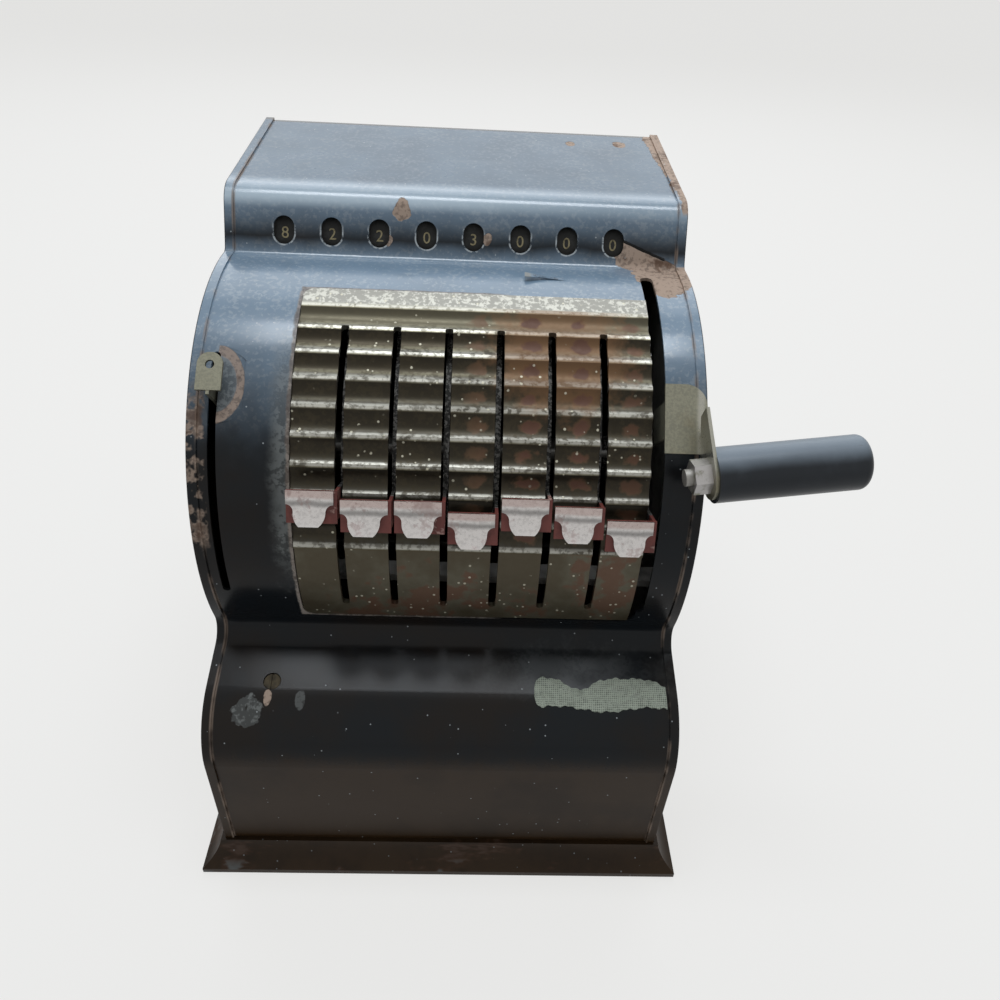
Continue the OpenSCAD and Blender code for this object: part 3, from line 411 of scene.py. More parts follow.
def case_wear(paint, ragged, radius, angle):
    """Masks of the places where the case's enamel has gone: bare metal, a crack and rubbed metal."""
    x, y, z = paint.x, paint.y, paint.z
    # The strip along the top's right edge, widest at the back
    strip = x + ragged * 0.0035 - COVER_EDGE + paint.ease(y, 0.03, 0.11) * 0.0050
    bare = paint.ease(strip, -0.0014, -0.0008) * paint.ease(z, TOP - 0.0095, TOP - 0.0075)
    # The torn patch between the last window and the right edge, under a crack
    line = CRACK_Z - (x - CRACK_X) * CRACK_FALL + ragged * 0.0008 - z
    below = paint.ease(line, -0.0002, 0.0002) | paint.ease(y, 0.0185, 0.0175)
    torn = paint.spot(*TORN_PATCH[0]) & paint.spot(*TORN_PATCH[1])
    bare = bare | paint.ease(torn + ragged * 0.55, 1.03, 0.97) * below
    crack = (paint.ease(abs(line), 0.0007, 0.0003) * paint.within(x, *CRACK_ENDS, 0.0004)
             * paint.ease(y, 0.018, 0.019))
    for centre, size in CHIPS:
        bare = bare | paint.ease(paint.spot(centre, size) + ragged * 0.8, 1.04, 0.96)
    # The rusty seam under the clear lever, the ring round the lever's recess and the rim of the index plate
    skin = paint.ease(abs(radius - BULGE_RADIUS), 0.0030, 0.0026)
    rust = (paint.ease(x + ragged * 0.004, CLEAR_X - 0.0020, CLEAR_X - 0.0030)
            * paint.within(angle, 8, 46, 3) * skin)
    rim = (paint.ease(x + ragged * 0.0018, PLATE_LEFT - 0.0020, PLATE_LEFT - 0.0010)
           * paint.ease(x, PLATE_LEFT + 0.08, PLATE_LEFT + 0.07)
           * paint.within(angle + ragged * 0.6, -17.5, 77.6, 0.3) * skin)
    ring = paint.spot(*LEVER_RING) + ragged * 0.06
    inside = paint.ease(ring, 1.02, 0.98) * paint.ease(x, CLEAR_X + 0.0004, CLEAR_X + 0.0008)
    bare = (bare | inside * paint.ease(ring, 0.70, 0.76) * 0.8 | rim * 0.45
            | rust * paint.ease(ragged, -0.05, 0.10) * 0.8)
    # Grey metal beside the index plate, inside the ring and on the shelf
    band = (paint.ease(x + ragged * 0.003, PLATE_LEFT - 0.0095, PLATE_LEFT - 0.0030)
            * paint.ease(x, PLATE_LEFT + 0.003, PLATE_LEFT)
            * paint.within(angle + ragged * 20, 4, 58, 12) * skin)
    scrape = paint.spot(*SHELF_SCRAPE) + ragged * 0.7
    mark = paint.ease(paint.spot(*SHELF_MARK) + ragged * 0.6, 1.04, 0.9) * 0.6
    scraped = paint.ease(scrape, 1.02, 0.96) * paint.ease(scrape, 0.30, 0.42) | mark
    smear = paint.ease(paint.spot(*SHELF_SMEAR) + ragged, 1.1, 0.2)
    rubbed = (band * 0.55 | rim * 0.7 | inside * paint.ease(ring, 0.74, 0.70) * 0.6 | scraped * 0.6
              | smear * 0.10)
    return bare, crack, rubbed


def window_rims(paint, fine):
    """Mask of the bright worn edges round the number windows."""
    across = abs((paint.x - window_x(1) + PITCH / 2) % PITCH - PITCH / 2)
    rise = (paint.y - WINDOW.y) * math.cos(WINDOW_SLOPE) + (paint.z - WINDOW.z) * math.sin(WINDOW_SLOPE)
    over = (abs(rise) - WINDOW_STRAIGHT) | 0
    reach = (across * across + over * over).root()
    return (paint.ease(reach, 0.00490, 0.00455) * paint.ease(rise, 0.004, -0.001)
            * paint.ease(abs(rise), 0.009, 0.008) * paint.ease(abs(paint.x + ROW_SHIFT), *ROW_HALF)
            * paint.ease(paint.z, *ROW_FOOT) * paint.ease(fine, 0.35, 0.55))


def case_enamel(settings):
    """Worn black enamel, lightened on the upper faces by dust and a painted sheen, with a painted highlight
    along the crown's bend, and brown at the foot.
    """
    paint = Paint("case_enamel", IOR=1.5, Specular_IOR_Level=0.12, Coat_Roughness=0.16)
    x, y, z = paint.x, paint.y, paint.z
    radius, angle = paint.about(SHAFT)
    cloud = paint.grain(18, 4, 0.62)
    wide = paint.grain(62, 2, 0.6) - 0.5
    fine = paint.grain(560, 2, 0.6)
    ragged = wide + (paint.grain(240, 2, 0.65) - 0.5)
    scuffs = paint.ease(paint.grain(40, 4, 0.65, (1.0, 3.5, 3.5)), 0.52, 0.72)

    # Where the enamel carries dust and a painted sheen of the light from above, and where it is brown
    front = paint.ease(abs(x), SIDE - 0.0001, SIDE - 0.0004) * paint.ease(y, BACK - 0.0005, BACK - 0.0012)
    bulge = paint.ease(angle + wide * 12, 28, 68) * paint.ease(abs(radius - BULGE_RADIUS), 0.0026, 0.0016)
    brow = paint.within(z + wide * 0.004, *BROW_HEIGHT) * paint.within(y, *BROW_DEPTH) * 0.7
    upper = paint.ease(z + wide * 0.003, TOP - 0.0235, TOP - 0.0095)
    flat_top = paint.ease(y, *FLAT_TOP) * upper
    # The painted highlight along the crown's bend
    crest_highlight = (paint.within(z + wide * 0.0012, TOP - 0.0105, TOP - 0.0060, 0.0022)
             * paint.ease(y, *CREST_HIGHLIGHT_FRONT))
    haze = (bulge | brow | upper * (0.85 - flat_top * 0.25)) * front
    low = paint.ease(z + ragged * 0.006, *FOOT)

    colour = paint.lay(settings.sound, paint.ease(cloud, 0.40, 0.70) * 0.5, shade(settings.brown, 0.6))
    colour = paint.lay(colour, low, settings.brown)
    colour = paint.lay(colour, low * paint.ease(cloud, 0.45, 0.65) * 0.7, shade(settings.brown, 0.5))
    # Dust and painted sheen on the upper faces
    dusty_sheen = paint.lay(settings.haze, paint.ease(cloud, 0.42, 0.66) * 0.5, shade(settings.haze, 0.72))
    dusty_sheen = paint.lay(dusty_sheen, scuffs * 0.10 + paint.ease(fine + wide * 0.3, 0.50, 0.66) * 0.22, settings.dust)
    colour = paint.lay(colour, haze, dusty_sheen)
    # Painted highlight on the crown, strongest to the left
    colour = paint.lay(colour, crest_highlight * front * (0.65 - paint.ease(x, -0.02, 0.07) * 0.35), settings.crown)

    bare, crack, rubbed = case_wear(paint, ragged, radius, angle)
    seam = paint.ease(abs(abs(x) - COVER_EDGE + 0.0024), 0.0009, 0.0003) * paint.ease(wide, -0.08, 0.10)
    rims = window_rims(paint, fine)
    dots = paint.specks(320, 0.12, 0.20)
    metal = paint.lay(settings.rubbed, paint.ease(fine + wide, 0.45, 0.62), shade(settings.rubbed, 0.4))
    naked = paint.lay(settings.bare, paint.ease(fine + wide * 0.5, 0.46, 0.60), shade(settings.bare, 0.60))
    naked = paint.lay(naked, paint.ease(ragged, 0.05, 0.25) * 0.7, settings.rust)
    colour = paint.lay(colour, seam * 0.75, shade(settings.bare, 0.6))
    colour = paint.lay(colour, rubbed, metal)
    colour = paint.lay(colour, rims * 0.8, settings.dust)
    colour = paint.lay(colour, bare, naked)
    colour = paint.lay(colour, dots * 0.6, settings.dust)
    colour = paint.lay(colour, crack, settings.crack)

    worn = bare | rubbed | seam * 0.6
    roughness = 0.22 + haze * 0.10 + low * 0.14 + (cloud - 0.5) * 0.14 + worn * 0.38
    height = fine * 0.04 + cloud * 0.25 - bare * 0.45 - crack
    gloss = (haze * (0.80 - flat_top * 0.75) + 0.25 - front * 0.20) * (1 - worn)
    return paint.finish(Base_Color=colour, Roughness=roughness, Coat_Weight=gloss, height=height)


def base_enamel(settings):
    """Browned enamel of the base, rubbed along its lip."""
    paint = Paint("base_enamel", IOR=1.5, Specular_IOR_Level=0.15)
    cloud = paint.grain(26, 4, 0.65)
    fine = paint.grain(420, 3, 0.6)
    patches = paint.grain(75, 4, 0.7, (0.35, 0.35, 1.0))
    lip = paint.ease(paint.z + (cloud - 0.5) * 0.004, *LIP)
    colour = paint.lay(settings.brown, paint.ease(cloud, 0.42, 0.68) * 0.85, shade(settings.brown, 0.45))
    colour = paint.lay(colour, paint.ease(patches, 0.55, 0.68) * 0.6, settings.rust)
    worn = paint.ease(patches, 0.60, 0.66) * (lip * 0.8 + 0.12)
    colour = paint.lay(colour, worn, shade(settings.rubbed, 0.45))
    colour = paint.lay(colour, paint.specks(480, 0.2, 0.08) * 0.35, settings.dust)
    roughness = 0.36 + (cloud - 0.5) * 0.25 + worn * 0.3
    height = cloud * 0.5 + fine * 0.10 - worn * 0.4
    return paint.finish(Base_Color=colour, Roughness=roughness, height=height)


class MACHINE_OT_paint_case(bpy.types.Operator):
    """Paints the case's covers in worn black enamel"""
    bl_idname = "machine.paint_case"
    bl_label = "Paint the case"

    def execute(self, context):
        dress(case_enamel(context.scene.machine.enamel), "front_cover", "side_panel_left",
              "side_panel_right", "back_cover")
        return {"FINISHED"}


# The flake: place across of its wide end, length, half width, angle on the bulge, thickness and rubbed end
FLAKE_X, FLAKE_LENGTH, FLAKE_HALF, FLAKE_ANGLE, FLAKE_SHEET = 0.0270, 0.0240, 0.0017, 85.2, 0.0002
FLAKE_RUBBED = 0.0305, 0.0285

# The tape: place across of its left end, length, edges up and down from the roll's start, thickness, and
# how closely its threads lie
TAPE_X, TAPE_LENGTH, TAPE_HIGH, TAPE_LOW, TAPE_SHEET = 0.0358, 0.0530, 0.0064, -0.0062, 0.00025
THREADS = 8000


class MACHINE_OT_lift_flake(bpy.types.Operator):
    """Makes the long flake of enamel that has curled up over the bulge"""
    bl_idname = "machine.lift_flake"
    bl_label = "Lift a paint flake"

    def execute(self, context):
        settings = context.scene.machine.enamel
        paint = Paint("flake_enamel", Specular_IOR_Level=0.5)
        fine = paint.grain(400, 3, 0.6)
        # The flake takes the upper faces' colour of dust and painted sheen
        colour = paint.lay(settings.haze, paint.ease(fine, 0.45, 0.62), shade(settings.haze, 0.45))
        colour = paint.lay(colour, paint.ease(paint.x, *FLAKE_RUBBED), settings.rubbed)
        flake = bmesh.new()
        bmesh.ops.create_grid(flake, x_segments=16, y_segments=3, size=1)
        for vert in flake.verts:
            along = (vert.co.x + 1) / 2
            width = FLAKE_HALF * (1 - 0.75 * along) * (0.75 + 0.25 * math.cos(along * 9))
            curl = 0.0016 * (1 - along) ** 2 + 0.0004 + 0.0009 * abs(vert.co.y) * (1 - along)
            middle = FLAKE_ANGLE - 0.4 * along + 0.6 * math.sin(along * 3)
            angle = middle + math.degrees(vert.co.y * width / BULGE_RADIUS)
            vert.co = on_bulge(FLAKE_X + FLAKE_LENGTH * along, angle, curl)
        bmesh.ops.solidify(flake, geom=flake.faces[:], thickness=FLAKE_SHEET)
        bmesh.ops.recalc_face_normals(flake, faces=flake.faces)
        material = paint.finish(Base_Color=colour, Roughness=0.3 + fine * 0.2, height=fine)
        new_piece("paint_flake", flake, material, "case")
        return {"FINISHED"}


class MACHINE_OT_stick_tape(bpy.types.Operator):
    """Makes the torn strip of cloth tape on the shelf"""
    bl_idname = "machine.stick_tape"
    bl_label = "Stick the tape"

    def execute(self, context):
        cloth = context.scene.machine.enamel.tape
        paint = Paint("cloth_tape", Specular_IOR_Level=0.15)
        fine = paint.grain(500, 3, 0.6)
        cloud = paint.grain(120, 3, 0.6)
        waves = [fine.maths("SINE", (axis + fine * 0.0006) * THREADS) for axis in (paint.x, paint.y)]
        weave = (waves[0] + waves[1]) * 0.22 + fine
        colour = paint.lay(shade(cloth, 0.35), paint.ease(weave, 0.05, 0.65), cloth)
        colour = paint.lay(colour, paint.ease(cloud, 0.52, 0.66) * 0.45, shade(cloth, 0.45))
        tape = bmesh.new()
        bmesh.ops.create_grid(tape, x_segments=120, y_segments=8, size=1)
        for vert in tape.verts:
            along, across = (vert.co.x + 1) / 2, (vert.co.y + 1) / 2
            wobble = 0.00030 * math.sin(43 * along) + 0.00022 * math.sin(101 * along + 1)
            dip = (0.0050 * math.exp(-((along - 0.34) / 0.13) ** 2)
                   + 0.0032 * max(0, (along - 0.8) / 0.2) ** 2)
            high = TAPE_HIGH - dip + wobble
            low = TAPE_LOW + 0.0010 * math.sin(9 * along) - wobble
            end = math.sqrt(1 - (1 - min(along / 0.07, 1)) ** 2)
            run = (high + low) / 2 + (across - 0.5) * (high - low) * (0.25 + 0.75 * end)
            lift = 0.0004 + 0.0001 * math.sin(60 * along + 9 * across)
            vert.co = on_shelf(TAPE_X + TAPE_LENGTH * along, run, lift)
        bmesh.ops.solidify(tape, geom=tape.faces[:], thickness=TAPE_SHEET)
        bmesh.ops.recalc_face_normals(tape, faces=tape.faces)
        material = paint.finish(Base_Color=colour, Roughness=0.75 + fine * 0.2, height=weave)
        new_piece("cloth_tape", tape, material, "case")
        return {"FINISHED"}


class MACHINE_OT_paint_base(bpy.types.Operator):
    """Paints the base moulding and the bottom plate"""
    bl_idname = "machine.paint_base"
    bl_label = "Paint the base"

    def execute(self, context):
        settings = context.scene.machine.enamel
        dress(base_enamel(settings), "base_pan")
        dress(cloudy("bottom_paint", settings.brown, settings.rust, (40, 4, 0.65), (0.45, 0.7), (0.55, 0.3),
                     Specular_IOR_Level=0.3), "bottom_plate")
        return {"FINISHED"}


class MACHINE_OT_plate_index(bpy.types.Operator):
    """Finishes the index plate in aged nickel, rubbed bright on its ridges"""
    bl_idname = "machine.plate_index"
    bl_label = "Finish the index plate"

    def execute(self, context):
        metal = context.scene.machine.metal
        paint = Paint("index_nickel", IOR=1.6)
        x = paint.x
        angle = paint.about(SHAFT)[1]
        cloud = paint.grain(34, 4, 0.62)
        fine = paint.grain(560, 3, 0.65)
        rag = paint.grain(150, 3, 0.6) - 0.5
        turn = (TOP_RIDGE - angle) / DIGIT_STEP
        phase = turn % 1
        ribbed = paint.within(turn, -0.12, RIDGES - 0.95, 0.05)
        upper = paint.ease(turn, 0.05, -0.05)
        lower = paint.ease(turn, RIDGES - 1.0, RIDGES - 0.8)
        # The smooth bands above and below the grooves
        flat = paint.lay(metal.tarnish, paint.ease(cloud, 0.40, 0.68), shade(metal.plate, 0.55))
        mottled = paint.lay(shade(metal.ridge, 0.40), paint.ease(fine + rag * 0.4, 0.48, 0.60),
                            shade(metal.ridge, 0.75))
        flat = paint.lay(flat, upper, mottled)
        # The grooves, from one ridge down to the next: tarnish in the hollows, painted shade under each ridge,
        # a painted highlight on the upward-facing side above the next ridge, and painted shade that darkens
        # the rows towards the finger pieces
        groove = paint.node("ShaderNodeValToRGB", {"stops": [
            (0.00, metal.ridge), (0.05, metal.plate), (0.10, shade(metal.tarnish, 0.25)),
            (0.56, shade(metal.tarnish, 0.60)), (0.70, metal.plate), (0.84, shade(metal.ridge, 0.65)),
            (0.95, metal.ridge)]},
            {"Fac": phase + rag * 0.05})
        # Painted shade that deepens in the hollows below the first rows and darkens every groove towards the
        # finger pieces
        down = paint.ease(turn, 2, 6)
        hollow = paint.within(phase - down * 0.06, 0.01, 0.80, 0.05)
        shadowed = paint.ease(turn, 1.0, 4.2) * 0.92 * hollow
        groove = paint.lay(groove, shadowed | down * 0.35, shade(metal.tarnish, 0.30))
        grime = (paint.ease(fine + rag * 0.5, 0.47, 0.60) * 0.55
                 + paint.ease(cloud + rag * 0.4, 0.46, 0.62) * 0.30)
        groove = paint.lay(groove, grime, shade(metal.tarnish, 0.55))
        # Painted light: the top groove lighter
        groove = paint.lay(groove, paint.ease(turn, 1.05, 0.95) * 0.30, metal.plate)
        colour = paint.lay(flat, ribbed, groove)
        # Rust in the right-hand columns, an oval in each finger groove, and stains on the lower band
        column = ((x - PLATE_LEFT) / PITCH) % 1 - 0.46
        row = phase - 0.46
        oval = (column * column * 7.5 + row * row * 5.5).root()
        right = paint.ease(x + rag * 0.02, -0.008, 0.020) * (1 - paint.ease(x, 0.056, 0.062) * 0.45)
        ring = paint.ease(oval + rag * 1.9, 0.70, 0.30) * right * ribbed
        core = paint.ease(oval + rag * 1.5, 0.58, 0.30) * right * ribbed * paint.ease(x, 0.004, 0.024)
        rusty = paint.ease(paint.spot(*PLATE_RUST) + rag * 1.1, 1.05, 0.55) * ribbed
        colour = paint.lay(colour, rusty * 0.60, metal.orange)
        colour = paint.lay(colour, ring * 0.80, shade(metal.orange, 0.7))
        colour = paint.lay(colour, core * 0.85, shade(metal.blotch, 0.8))
        stained = lower * paint.ease(cloud + rag * 0.5, 0.54, 0.64)
        colour = paint.lay(colour, stained * 0.6, shade(metal.blotch, 1.2))
        flecks = paint.specks(430, 0.27, 0.32) * paint.ease(cloud + rag * 0.8 + upper * 0.12, 0.44, 0.54)
        colour = paint.lay(colour, flecks * 0.75, metal.fleck)
        dull = ring * 0.9 | rusty * 0.5 | lower * 0.35 | flecks * 0.6
        roughness = 0.42 + (fine - 0.5) * 0.24 + (cloud - 0.5) * 0.2 + dull * 0.2
        dress(paint.finish(Base_Color=colour, Roughness=roughness, Metallic=0.75 - dull * 0.5,
                           height=fine * 0.12 + cloud * 0.2 + flecks * 0.25), "index_plate")
        return {"FINISHED"}


# A finger piece, down from its upper edge: the copper at the top and the painted shade line under it
TAB_COPPER, TAB_SHADE_LINE = (0.0030, 0.0018), (0.0034, 0.0050, 0.0007)


class MACHINE_OT_finish_levers(bpy.types.Operator):
    """Paints the setting levers' outer ends red and plates their finger pieces"""
    bl_idname = "machine.finish_levers"
    bl_label = "Finish the levers"

    def execute(self, context):
        enamel, metal = context.scene.machine.enamel, context.scene.machine.metal
        paint = Paint("lever_red", Specular_IOR_Level=0.4)
        radius = paint.about(SHAFT)[0]
        cloud = paint.grain(90, 4, 0.65)
        fine = paint.grain(800, 2, 0.65)
        inner = paint.ease(radius, BULGE_RADIUS + 0.0002, BULGE_RADIUS - 0.0006)
        red = paint.lay(enamel.red, paint.ease(cloud, 0.45, 0.66), shade(enamel.red, 0.5))
        red = paint.lay(red, paint.ease(cloud + fine * 0.2, 0.68, 0.74), metal.copper)
        dusty = paint.lay(shade(metal.steel, 0.2), paint.ease(fine, 0.47, 0.58), metal.steel)
        colour = paint.lay(red, inner, dusty)
        dress(paint.finish(Base_Color=colour, Roughness=0.40 + cloud * 0.3, Metallic=inner * 0.4,
                           height=cloud * 0.4 + fine * 0.2), *(f"setting_lever_{k}" for k in COLUMNS))
        for k in COLUMNS:
            dress(self.tab_nickel(metal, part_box(f"finger_tab_{k}")[1].z), f"finger_tab_{k}")
        return {"FINISHED"}

    def tab_nickel(self, metal, top):
        """Worn nickel for a finger piece with its upper edge at a height."""
        paint = Paint("tab_nickel", IOR=1.6)
        cloud = paint.grain(120, 3, 0.6)
        fine = paint.grain(800, 3, 0.6)
        down = top - paint.z + (cloud - 0.5) * 0.0012
        worn = paint.ease(cloud + (fine - 0.5) * 0.3, 0.55, 0.66)
        # A painted shade line under the copper strip
        band = paint.within(down, *TAB_SHADE_LINE)
        colour = paint.lay(metal.tab, paint.ease(fine, 0.45, 0.62) * 0.5, shade(metal.tab, 0.7))
        colour = paint.lay(colour, paint.ease(down, *TAB_COPPER) * 0.45, metal.copper)
        colour = paint.lay(colour, band * 0.7, shade(metal.tab, 0.25))
        colour = paint.lay(colour, worn * 0.35, metal.copper)
        return paint.finish(Base_Color=colour, Roughness=0.26 + worn * 0.3 + (fine - 0.5) * 0.2,
                            Metallic=0.95 - worn * 0.35, height=cloud * 0.6 + fine * 0.12)


class MACHINE_OT_finish_handle(bpy.types.Operator):
    """Finishes the handle, its nut and grip, and the clear lever"""
    bl_idname = "machine.finish_handle"
    bl_label = "Finish the handle"

    def execute(self, context):
        metal = context.scene.machine.metal
        paint = Paint("handle_nickel", IOR=1.6)
        cloud = paint.grain(50, 4, 0.6)
        fine = paint.grain(1100, 2, 0.65)
        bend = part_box("handle_arm")[1].x
        rubbed = paint.within(paint.x + (cloud - 0.5) * 0.002, bend - 0.0045, bend - 0.0020, 0.0008)
        colour = paint.lay(metal.handle, paint.ease(fine, 0.40, 0.64), shade(metal.handle, 0.80))
        colour = paint.lay(colour, paint.ease(cloud, 0.54, 0.70) * 0.3, shade(metal.brass, 0.4))
        colour = paint.lay(colour, rubbed * 0.6, shade(metal.ridge, 0.8))
        dress(paint.finish(Base_Color=colour, Roughness=0.46 + (fine - 0.5) * 0.3 - rubbed * 0.15,
                           Metallic=0.8 - paint.ease(fine, 0.5, 0.7) * 0.3,
                           height=fine * 0.15 + cloud * 0.2), "handle_arm", "clear_lever")
        dress(cloudy("nut_nickel", shade(metal.tab, 0.75), shade(metal.handle, 0.8), (260, 4, 0.6),
                     (0.48, 0.66), (0.34, 0.2), 0.95, IOR=1.6), "handle_nut")
        dress(self.grip_lacquer(context.scene.machine.wheel), "handle_grip")
        return {"FINISHED"}

    def grip_lacquer(self, wheel):
        """Black lacquer with a painted sheen on the grip's upper side, and scuffed."""
        paint = Paint("grip_lacquer", IOR=1.5, Specular_IOR_Level=0.2)
        cloud = paint.grain(45, 4, 0.6)
        fine = paint.grain(500, 2, 0.6, (0.2, 1.0, 1.0))
        scuff = paint.ease(cloud + (fine - 0.5) * 0.5, 0.66, 0.72)
        inner, outer = grip_ends()
        rise = (outer.z - inner.z) / (outer.x - inner.x)
        level = paint.z - (paint.x - inner.x) * rise + (cloud - 0.5) * 0.002
        top = paint.ease(level, inner.z + 0.0055, inner.z + 0.0105)
        colour = paint.lay(wheel.grip, paint.ease(cloud, 0.45, 0.7) * 0.5, shade(wheel.grip, 2))
        # Painted sheen along the grip's upper side
        colour = paint.lay(colour, top * 0.9, wheel.sheen)
        colour = paint.lay(colour, scuff * 0.5, wheel.scuff)
        return paint.finish(Base_Color=colour, Roughness=0.33 + (cloud - 0.5) * 0.2 + scuff * 0.25,
                            height=fine * 0.08 - scuff * 0.2)


class MACHINE_OT_finish_works(bpy.types.Operator):
    """Finishes the steel works, the screws and nuts"""
    bl_idname = "machine.finish_works"
    bl_label = "Finish the works"

    def execute(self, context):
        metal = context.scene.machine.metal
        dress(cloudy("works_steel", metal.steel, shade(metal.steel, 0.45), (60, 4, 0.6), (0.45, 0.7),
                     (0.4, 0.3), 0.95, IOR=1.6),
              "frame_left", "frame_right", "main_shaft", "shaft_sleeves", "carry_shaft", "tie_rods",
              "frame_nuts", "zero_stop_bar", "detent_comb", "foot_screws", "dial_shaft", "handle_bolt",
              "restoring_bail", *(f"carry_pawl_{k}" for k in COLUMNS))
        dress(cloudy("screw_brass", shade(metal.brass, 0.07), shade(metal.brass, 0.03), (400, 3, 0.6),
                     (0.4, 0.7), (0.4, 0.3), 0.9, IOR=1.6), "cover_screws")
        return {"FINISHED"}


# Font size for each unit of a numeral's height
FONT_PER_HEIGHT = 1.4


class MACHINE_OT_number_wheels(bpy.types.Operator):
    """Blackens the number wheels and puts the numerals on them"""
    bl_idname = "machine.number_wheels"
    bl_label = "Number the wheels"

    def execute(self, context):
        wheel = context.scene.machine.wheel
        dress(cloudy("wheel_black", wheel.black, shade(wheel.black, 2.5), (200, 3, 0.6), (0.45, 0.7),
                     (0.5, 0.3), Specular_IOR_Level=0.3), *(f"number_wheel_{i}" for i in WHEELS))
        ink = cloudy("numeral_ink", wheel.ink, shade(wheel.ink, 0.4), (700, 3, 0.65), (0.5, 0.7),
                     (0.55, 0.3), Specular_IOR_Level=0.3)
        for i in WHEELS:
            ring = bmesh.new()
            for digit in range(10):
                self.add_numeral(ring, wheel, digit, window_x(i), wheel.shown[i - 1])
            bmesh.ops.recalc_face_normals(ring, faces=ring.faces)
            new_piece(f"wheel_numerals_{i}", ring, ink, f"wheel_{i}")
        return {"FINISHED"}

    def add_numeral(self, ring, wheel, digit, across, shown):
        """Adds one numeral, wrapped round its wheel."""
        curve = bpy.data.curves.new("numeral", "FONT")
        curve.body = str(digit)
        curve.size = wheel.height * FONT_PER_HEIGHT
        curve.align_x = "CENTER"
        curve.align_y = "CENTER"
        curve.extrude = wheel.relief
        curve.resolution_u = 4
        word = bpy.data.objects.new("numeral", curve)
        bpy.context.scene.collection.objects.link(word)
        bpy.context.view_layer.update()
        mesh = bpy.data.meshes.new_from_object(word.evaluated_get(bpy.context.evaluated_depsgraph_get()))
        bpy.data.objects.remove(word)
        before = set(ring.verts)
        ring.from_mesh(mesh)
        bpy.data.meshes.remove(mesh)
        middle = wheel.middle + math.radians(WHEEL_STEP * (digit - shown))
        for vert in set(ring.verts) - before:
            turn = middle + vert.co.y / WHEEL_RADIUS
            reach = WHEEL_RADIUS + vert.co.z
            vert.co = Vector((across + vert.co.x, DIAL.y - reach * math.cos(turn),
                              DIAL.z + reach * math.sin(turn)))


def mix_by_rays(tree, plain, seen, output):
    """Shows one shader to the light and another to the camera and to reflections."""
    path = tree.nodes.new("ShaderNodeLightPath")
    either = path.outputs["Is Camera Ray"]
    for ray in ("Is Glossy Ray", "Is Transmission Ray"):
        join = tree.nodes.new("ShaderNodeMath")
        join.operation = "MAXIMUM"
        tree.links.new(either, join.inputs[0])
        tree.links.new(path.outputs[ray], join.inputs[1])
        either = join.outputs[0]
    choose = tree.nodes.new("ShaderNodeMixShader")
    tree.links.new(either, choose.inputs[0])
    tree.links.new(plain, choose.inputs[1])
    tree.links.new(seen, choose.inputs[2])
    tree.links.new(choose.outputs[0], output)


# The floor's reach and the share of its own glow, and the lamps: colour, aim, sizes and places
FLOOR_REACH, FLOOR_GLOW = 12, 0.8
LAMP_COLOUR, LAMP_AIM = (0.90, 0.95, 1.0), Vector((0, 0, 0.12))
STRIP_SIZE, STRIP_PLACE = (0.7, 0.25), (0.0, 0.10, 1.25)
SOFT_SIZE, SOFT_PLACE = (1.9, 1.1), (0.0, 1.05, 1.05)

# The camera's sensor, in millimetres, and the nearest distance that it sees
SENSOR, NEAREST = 36, 0.01


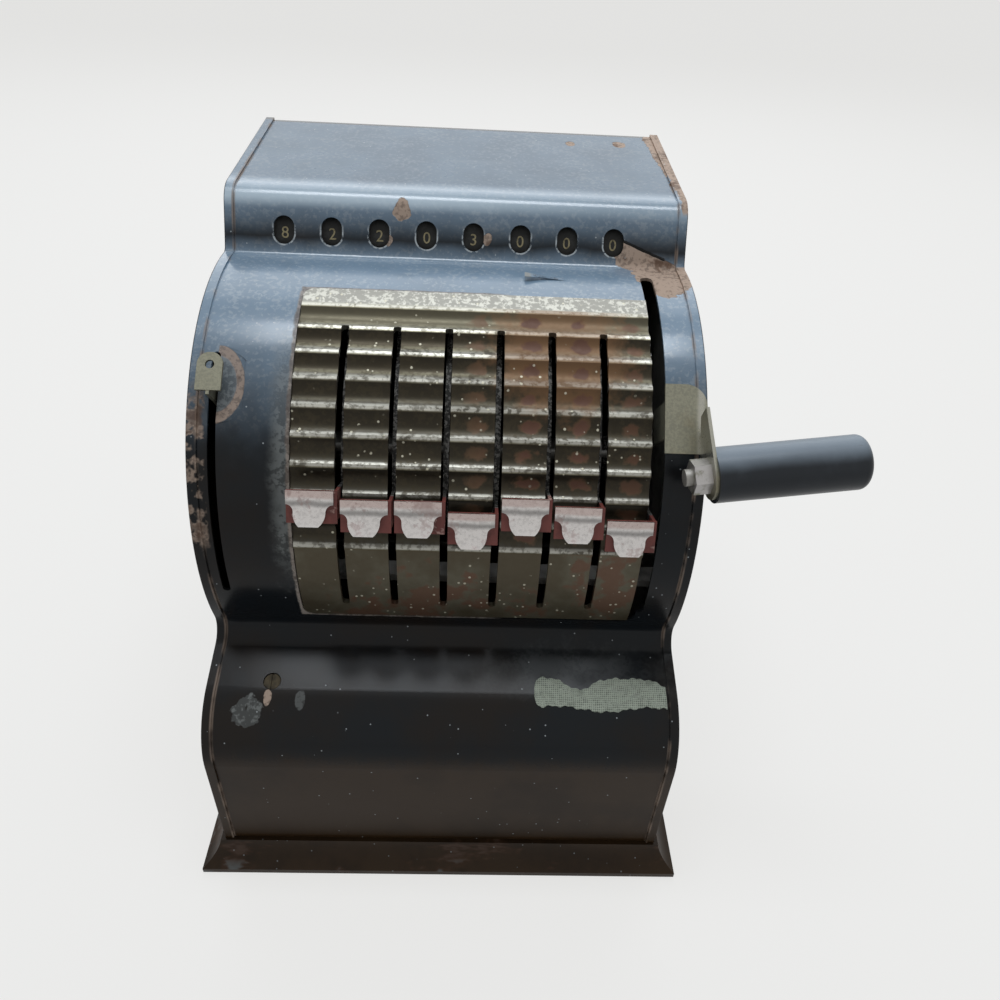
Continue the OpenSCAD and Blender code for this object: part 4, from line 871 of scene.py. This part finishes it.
class MACHINE_OT_set_stage(bpy.types.Operator):
    """Makes the floor, the light and the camera"""
    bl_idname = "machine.set_stage"
    bl_label = "Set the stage"

    def execute(self, context):
        stage = context.scene.machine.stage
        self.make_floor(context.scene, stage)
        self.make_surround(context.scene, stage)
        self.add_lamp(context.scene, "strip_lamp", stage.strip, STRIP_SIZE, STRIP_PLACE)
        self.add_lamp(context.scene, "soft_lamp", stage.soft, SOFT_SIZE, SOFT_PLACE)
        self.place_camera(context.scene, stage)
        context.scene.view_settings.view_transform = "Standard"
        return {"FINISHED"}

    def make_floor(self, scene, stage):
        """A pale floor that keeps a faint shadow."""
        shape = bmesh.new()
        bmesh.ops.create_grid(shape, x_segments=1, y_segments=1, size=FLOOR_REACH)
        mesh = bpy.data.meshes.new("floor")
        shape.to_mesh(mesh)
        shape.free()
        paint = Paint("floor_paper", Roughness=0.9, Specular_IOR_Level=0.1, Base_Color=(*stage.floor, 1))
        glow = paint.node("ShaderNodeEmission", {}, {"Color": (*stage.floor, 1)})
        blend = paint.node("ShaderNodeMixShader", {}, {0: FLOOR_GLOW})
        paint.tree.links.new(paint.shader.outputs[0], blend.socket.node.inputs[1])
        paint.tree.links.new(glow.socket, blend.socket.node.inputs[2])
        surface = paint.tree.nodes["Material Output"].inputs["Surface"]
        mix_by_rays(paint.tree, paint.shader.outputs[0], blend.socket, surface)
        mesh.materials.append(paint.material)
        floor = bpy.data.objects.new("floor", mesh)
        scene.collection.objects.link(floor)

    def make_surround(self, scene, stage):
        """Even light from all sides, seen as the floor's colour."""
        world = bpy.data.worlds.new("surround")
        world.use_nodes = True
        scene.world = world
        tree = world.node_tree
        light = tree.nodes["Background"]
        light.inputs["Color"].default_value = (*stage.surround, 1)
        light.inputs["Strength"].default_value = stage.strength
        seen = tree.nodes.new("ShaderNodeBackground")
        seen.inputs["Color"].default_value = (*stage.floor, 1)
        mix_by_rays(tree, light.outputs[0], seen.outputs[0], tree.nodes["World Output"].inputs["Surface"])

    def add_lamp(self, scene, name, power, size, place):
        """A rectangular lamp that faces the machine."""
        data = bpy.data.lights.new(name, "AREA")
        data.shape = "RECTANGLE"
        data.size, data.size_y = size
        data.energy = power
        data.color = LAMP_COLOUR
        lamp = bpy.data.objects.new(name, data)
        lamp.location = place
        lamp.rotation_euler = (LAMP_AIM - lamp.location).to_track_quat("-Z", "Y").to_euler()
        scene.collection.objects.link(lamp)

    def place_camera(self, scene, stage):
        """The photograph's view."""
        data = bpy.data.cameras.new("camera")
        data.lens = stage.lens
        data.sensor_width = SENSOR
        data.clip_start = NEAREST
        camera = bpy.data.objects.new("camera", data)
        camera.location = stage.eye
        camera.rotation_euler = stage.turn
        scene.collection.objects.link(camera)
        scene.camera = camera


OPERATORS = (MACHINE_OT_paint_case, MACHINE_OT_lift_flake, MACHINE_OT_stick_tape, MACHINE_OT_paint_base,
             MACHINE_OT_plate_index, MACHINE_OT_finish_levers, MACHINE_OT_finish_handle,
             MACHINE_OT_finish_works, MACHINE_OT_number_wheels, MACHINE_OT_set_stage)


class MACHINE_PT_sidebar(bpy.types.Panel):
    """Settings and steps of the adding machine"""
    bl_idname = "MACHINE_PT_sidebar"
    bl_label = "Adding machine"
    bl_space_type = "VIEW_3D"
    bl_region_type = "UI"
    bl_category = "Adding machine"

    def draw(self, context):
        settings = context.scene.machine
        for name in ("enamel", "metal", "wheel", "stage"):
            group = getattr(settings, name)
            box = self.layout.box()
            for prop in group.__annotations__:
                box.prop(group, prop)
        for operator in OPERATORS:
            self.layout.operator(operator.bl_idname)


CLASSES = (EnamelSettings, MetalSettings, WheelSettings, StageSettings, MachineSettings, *OPERATORS,
           MACHINE_PT_sidebar)


def register():
    for cls in CLASSES:
        bpy.utils.register_class(cls)
    bpy.types.Scene.machine = PointerProperty(type=MachineSettings)


def unregister():
    del bpy.types.Scene.machine
    for cls in reversed(CLASSES):
        bpy.utils.unregister_class(cls)


def main():
    register()
    for operator in OPERATORS:
        family, name = operator.bl_idname.split(".")
        getattr(getattr(bpy.ops, family), name)()


if __name__ == "__main__":
    main()
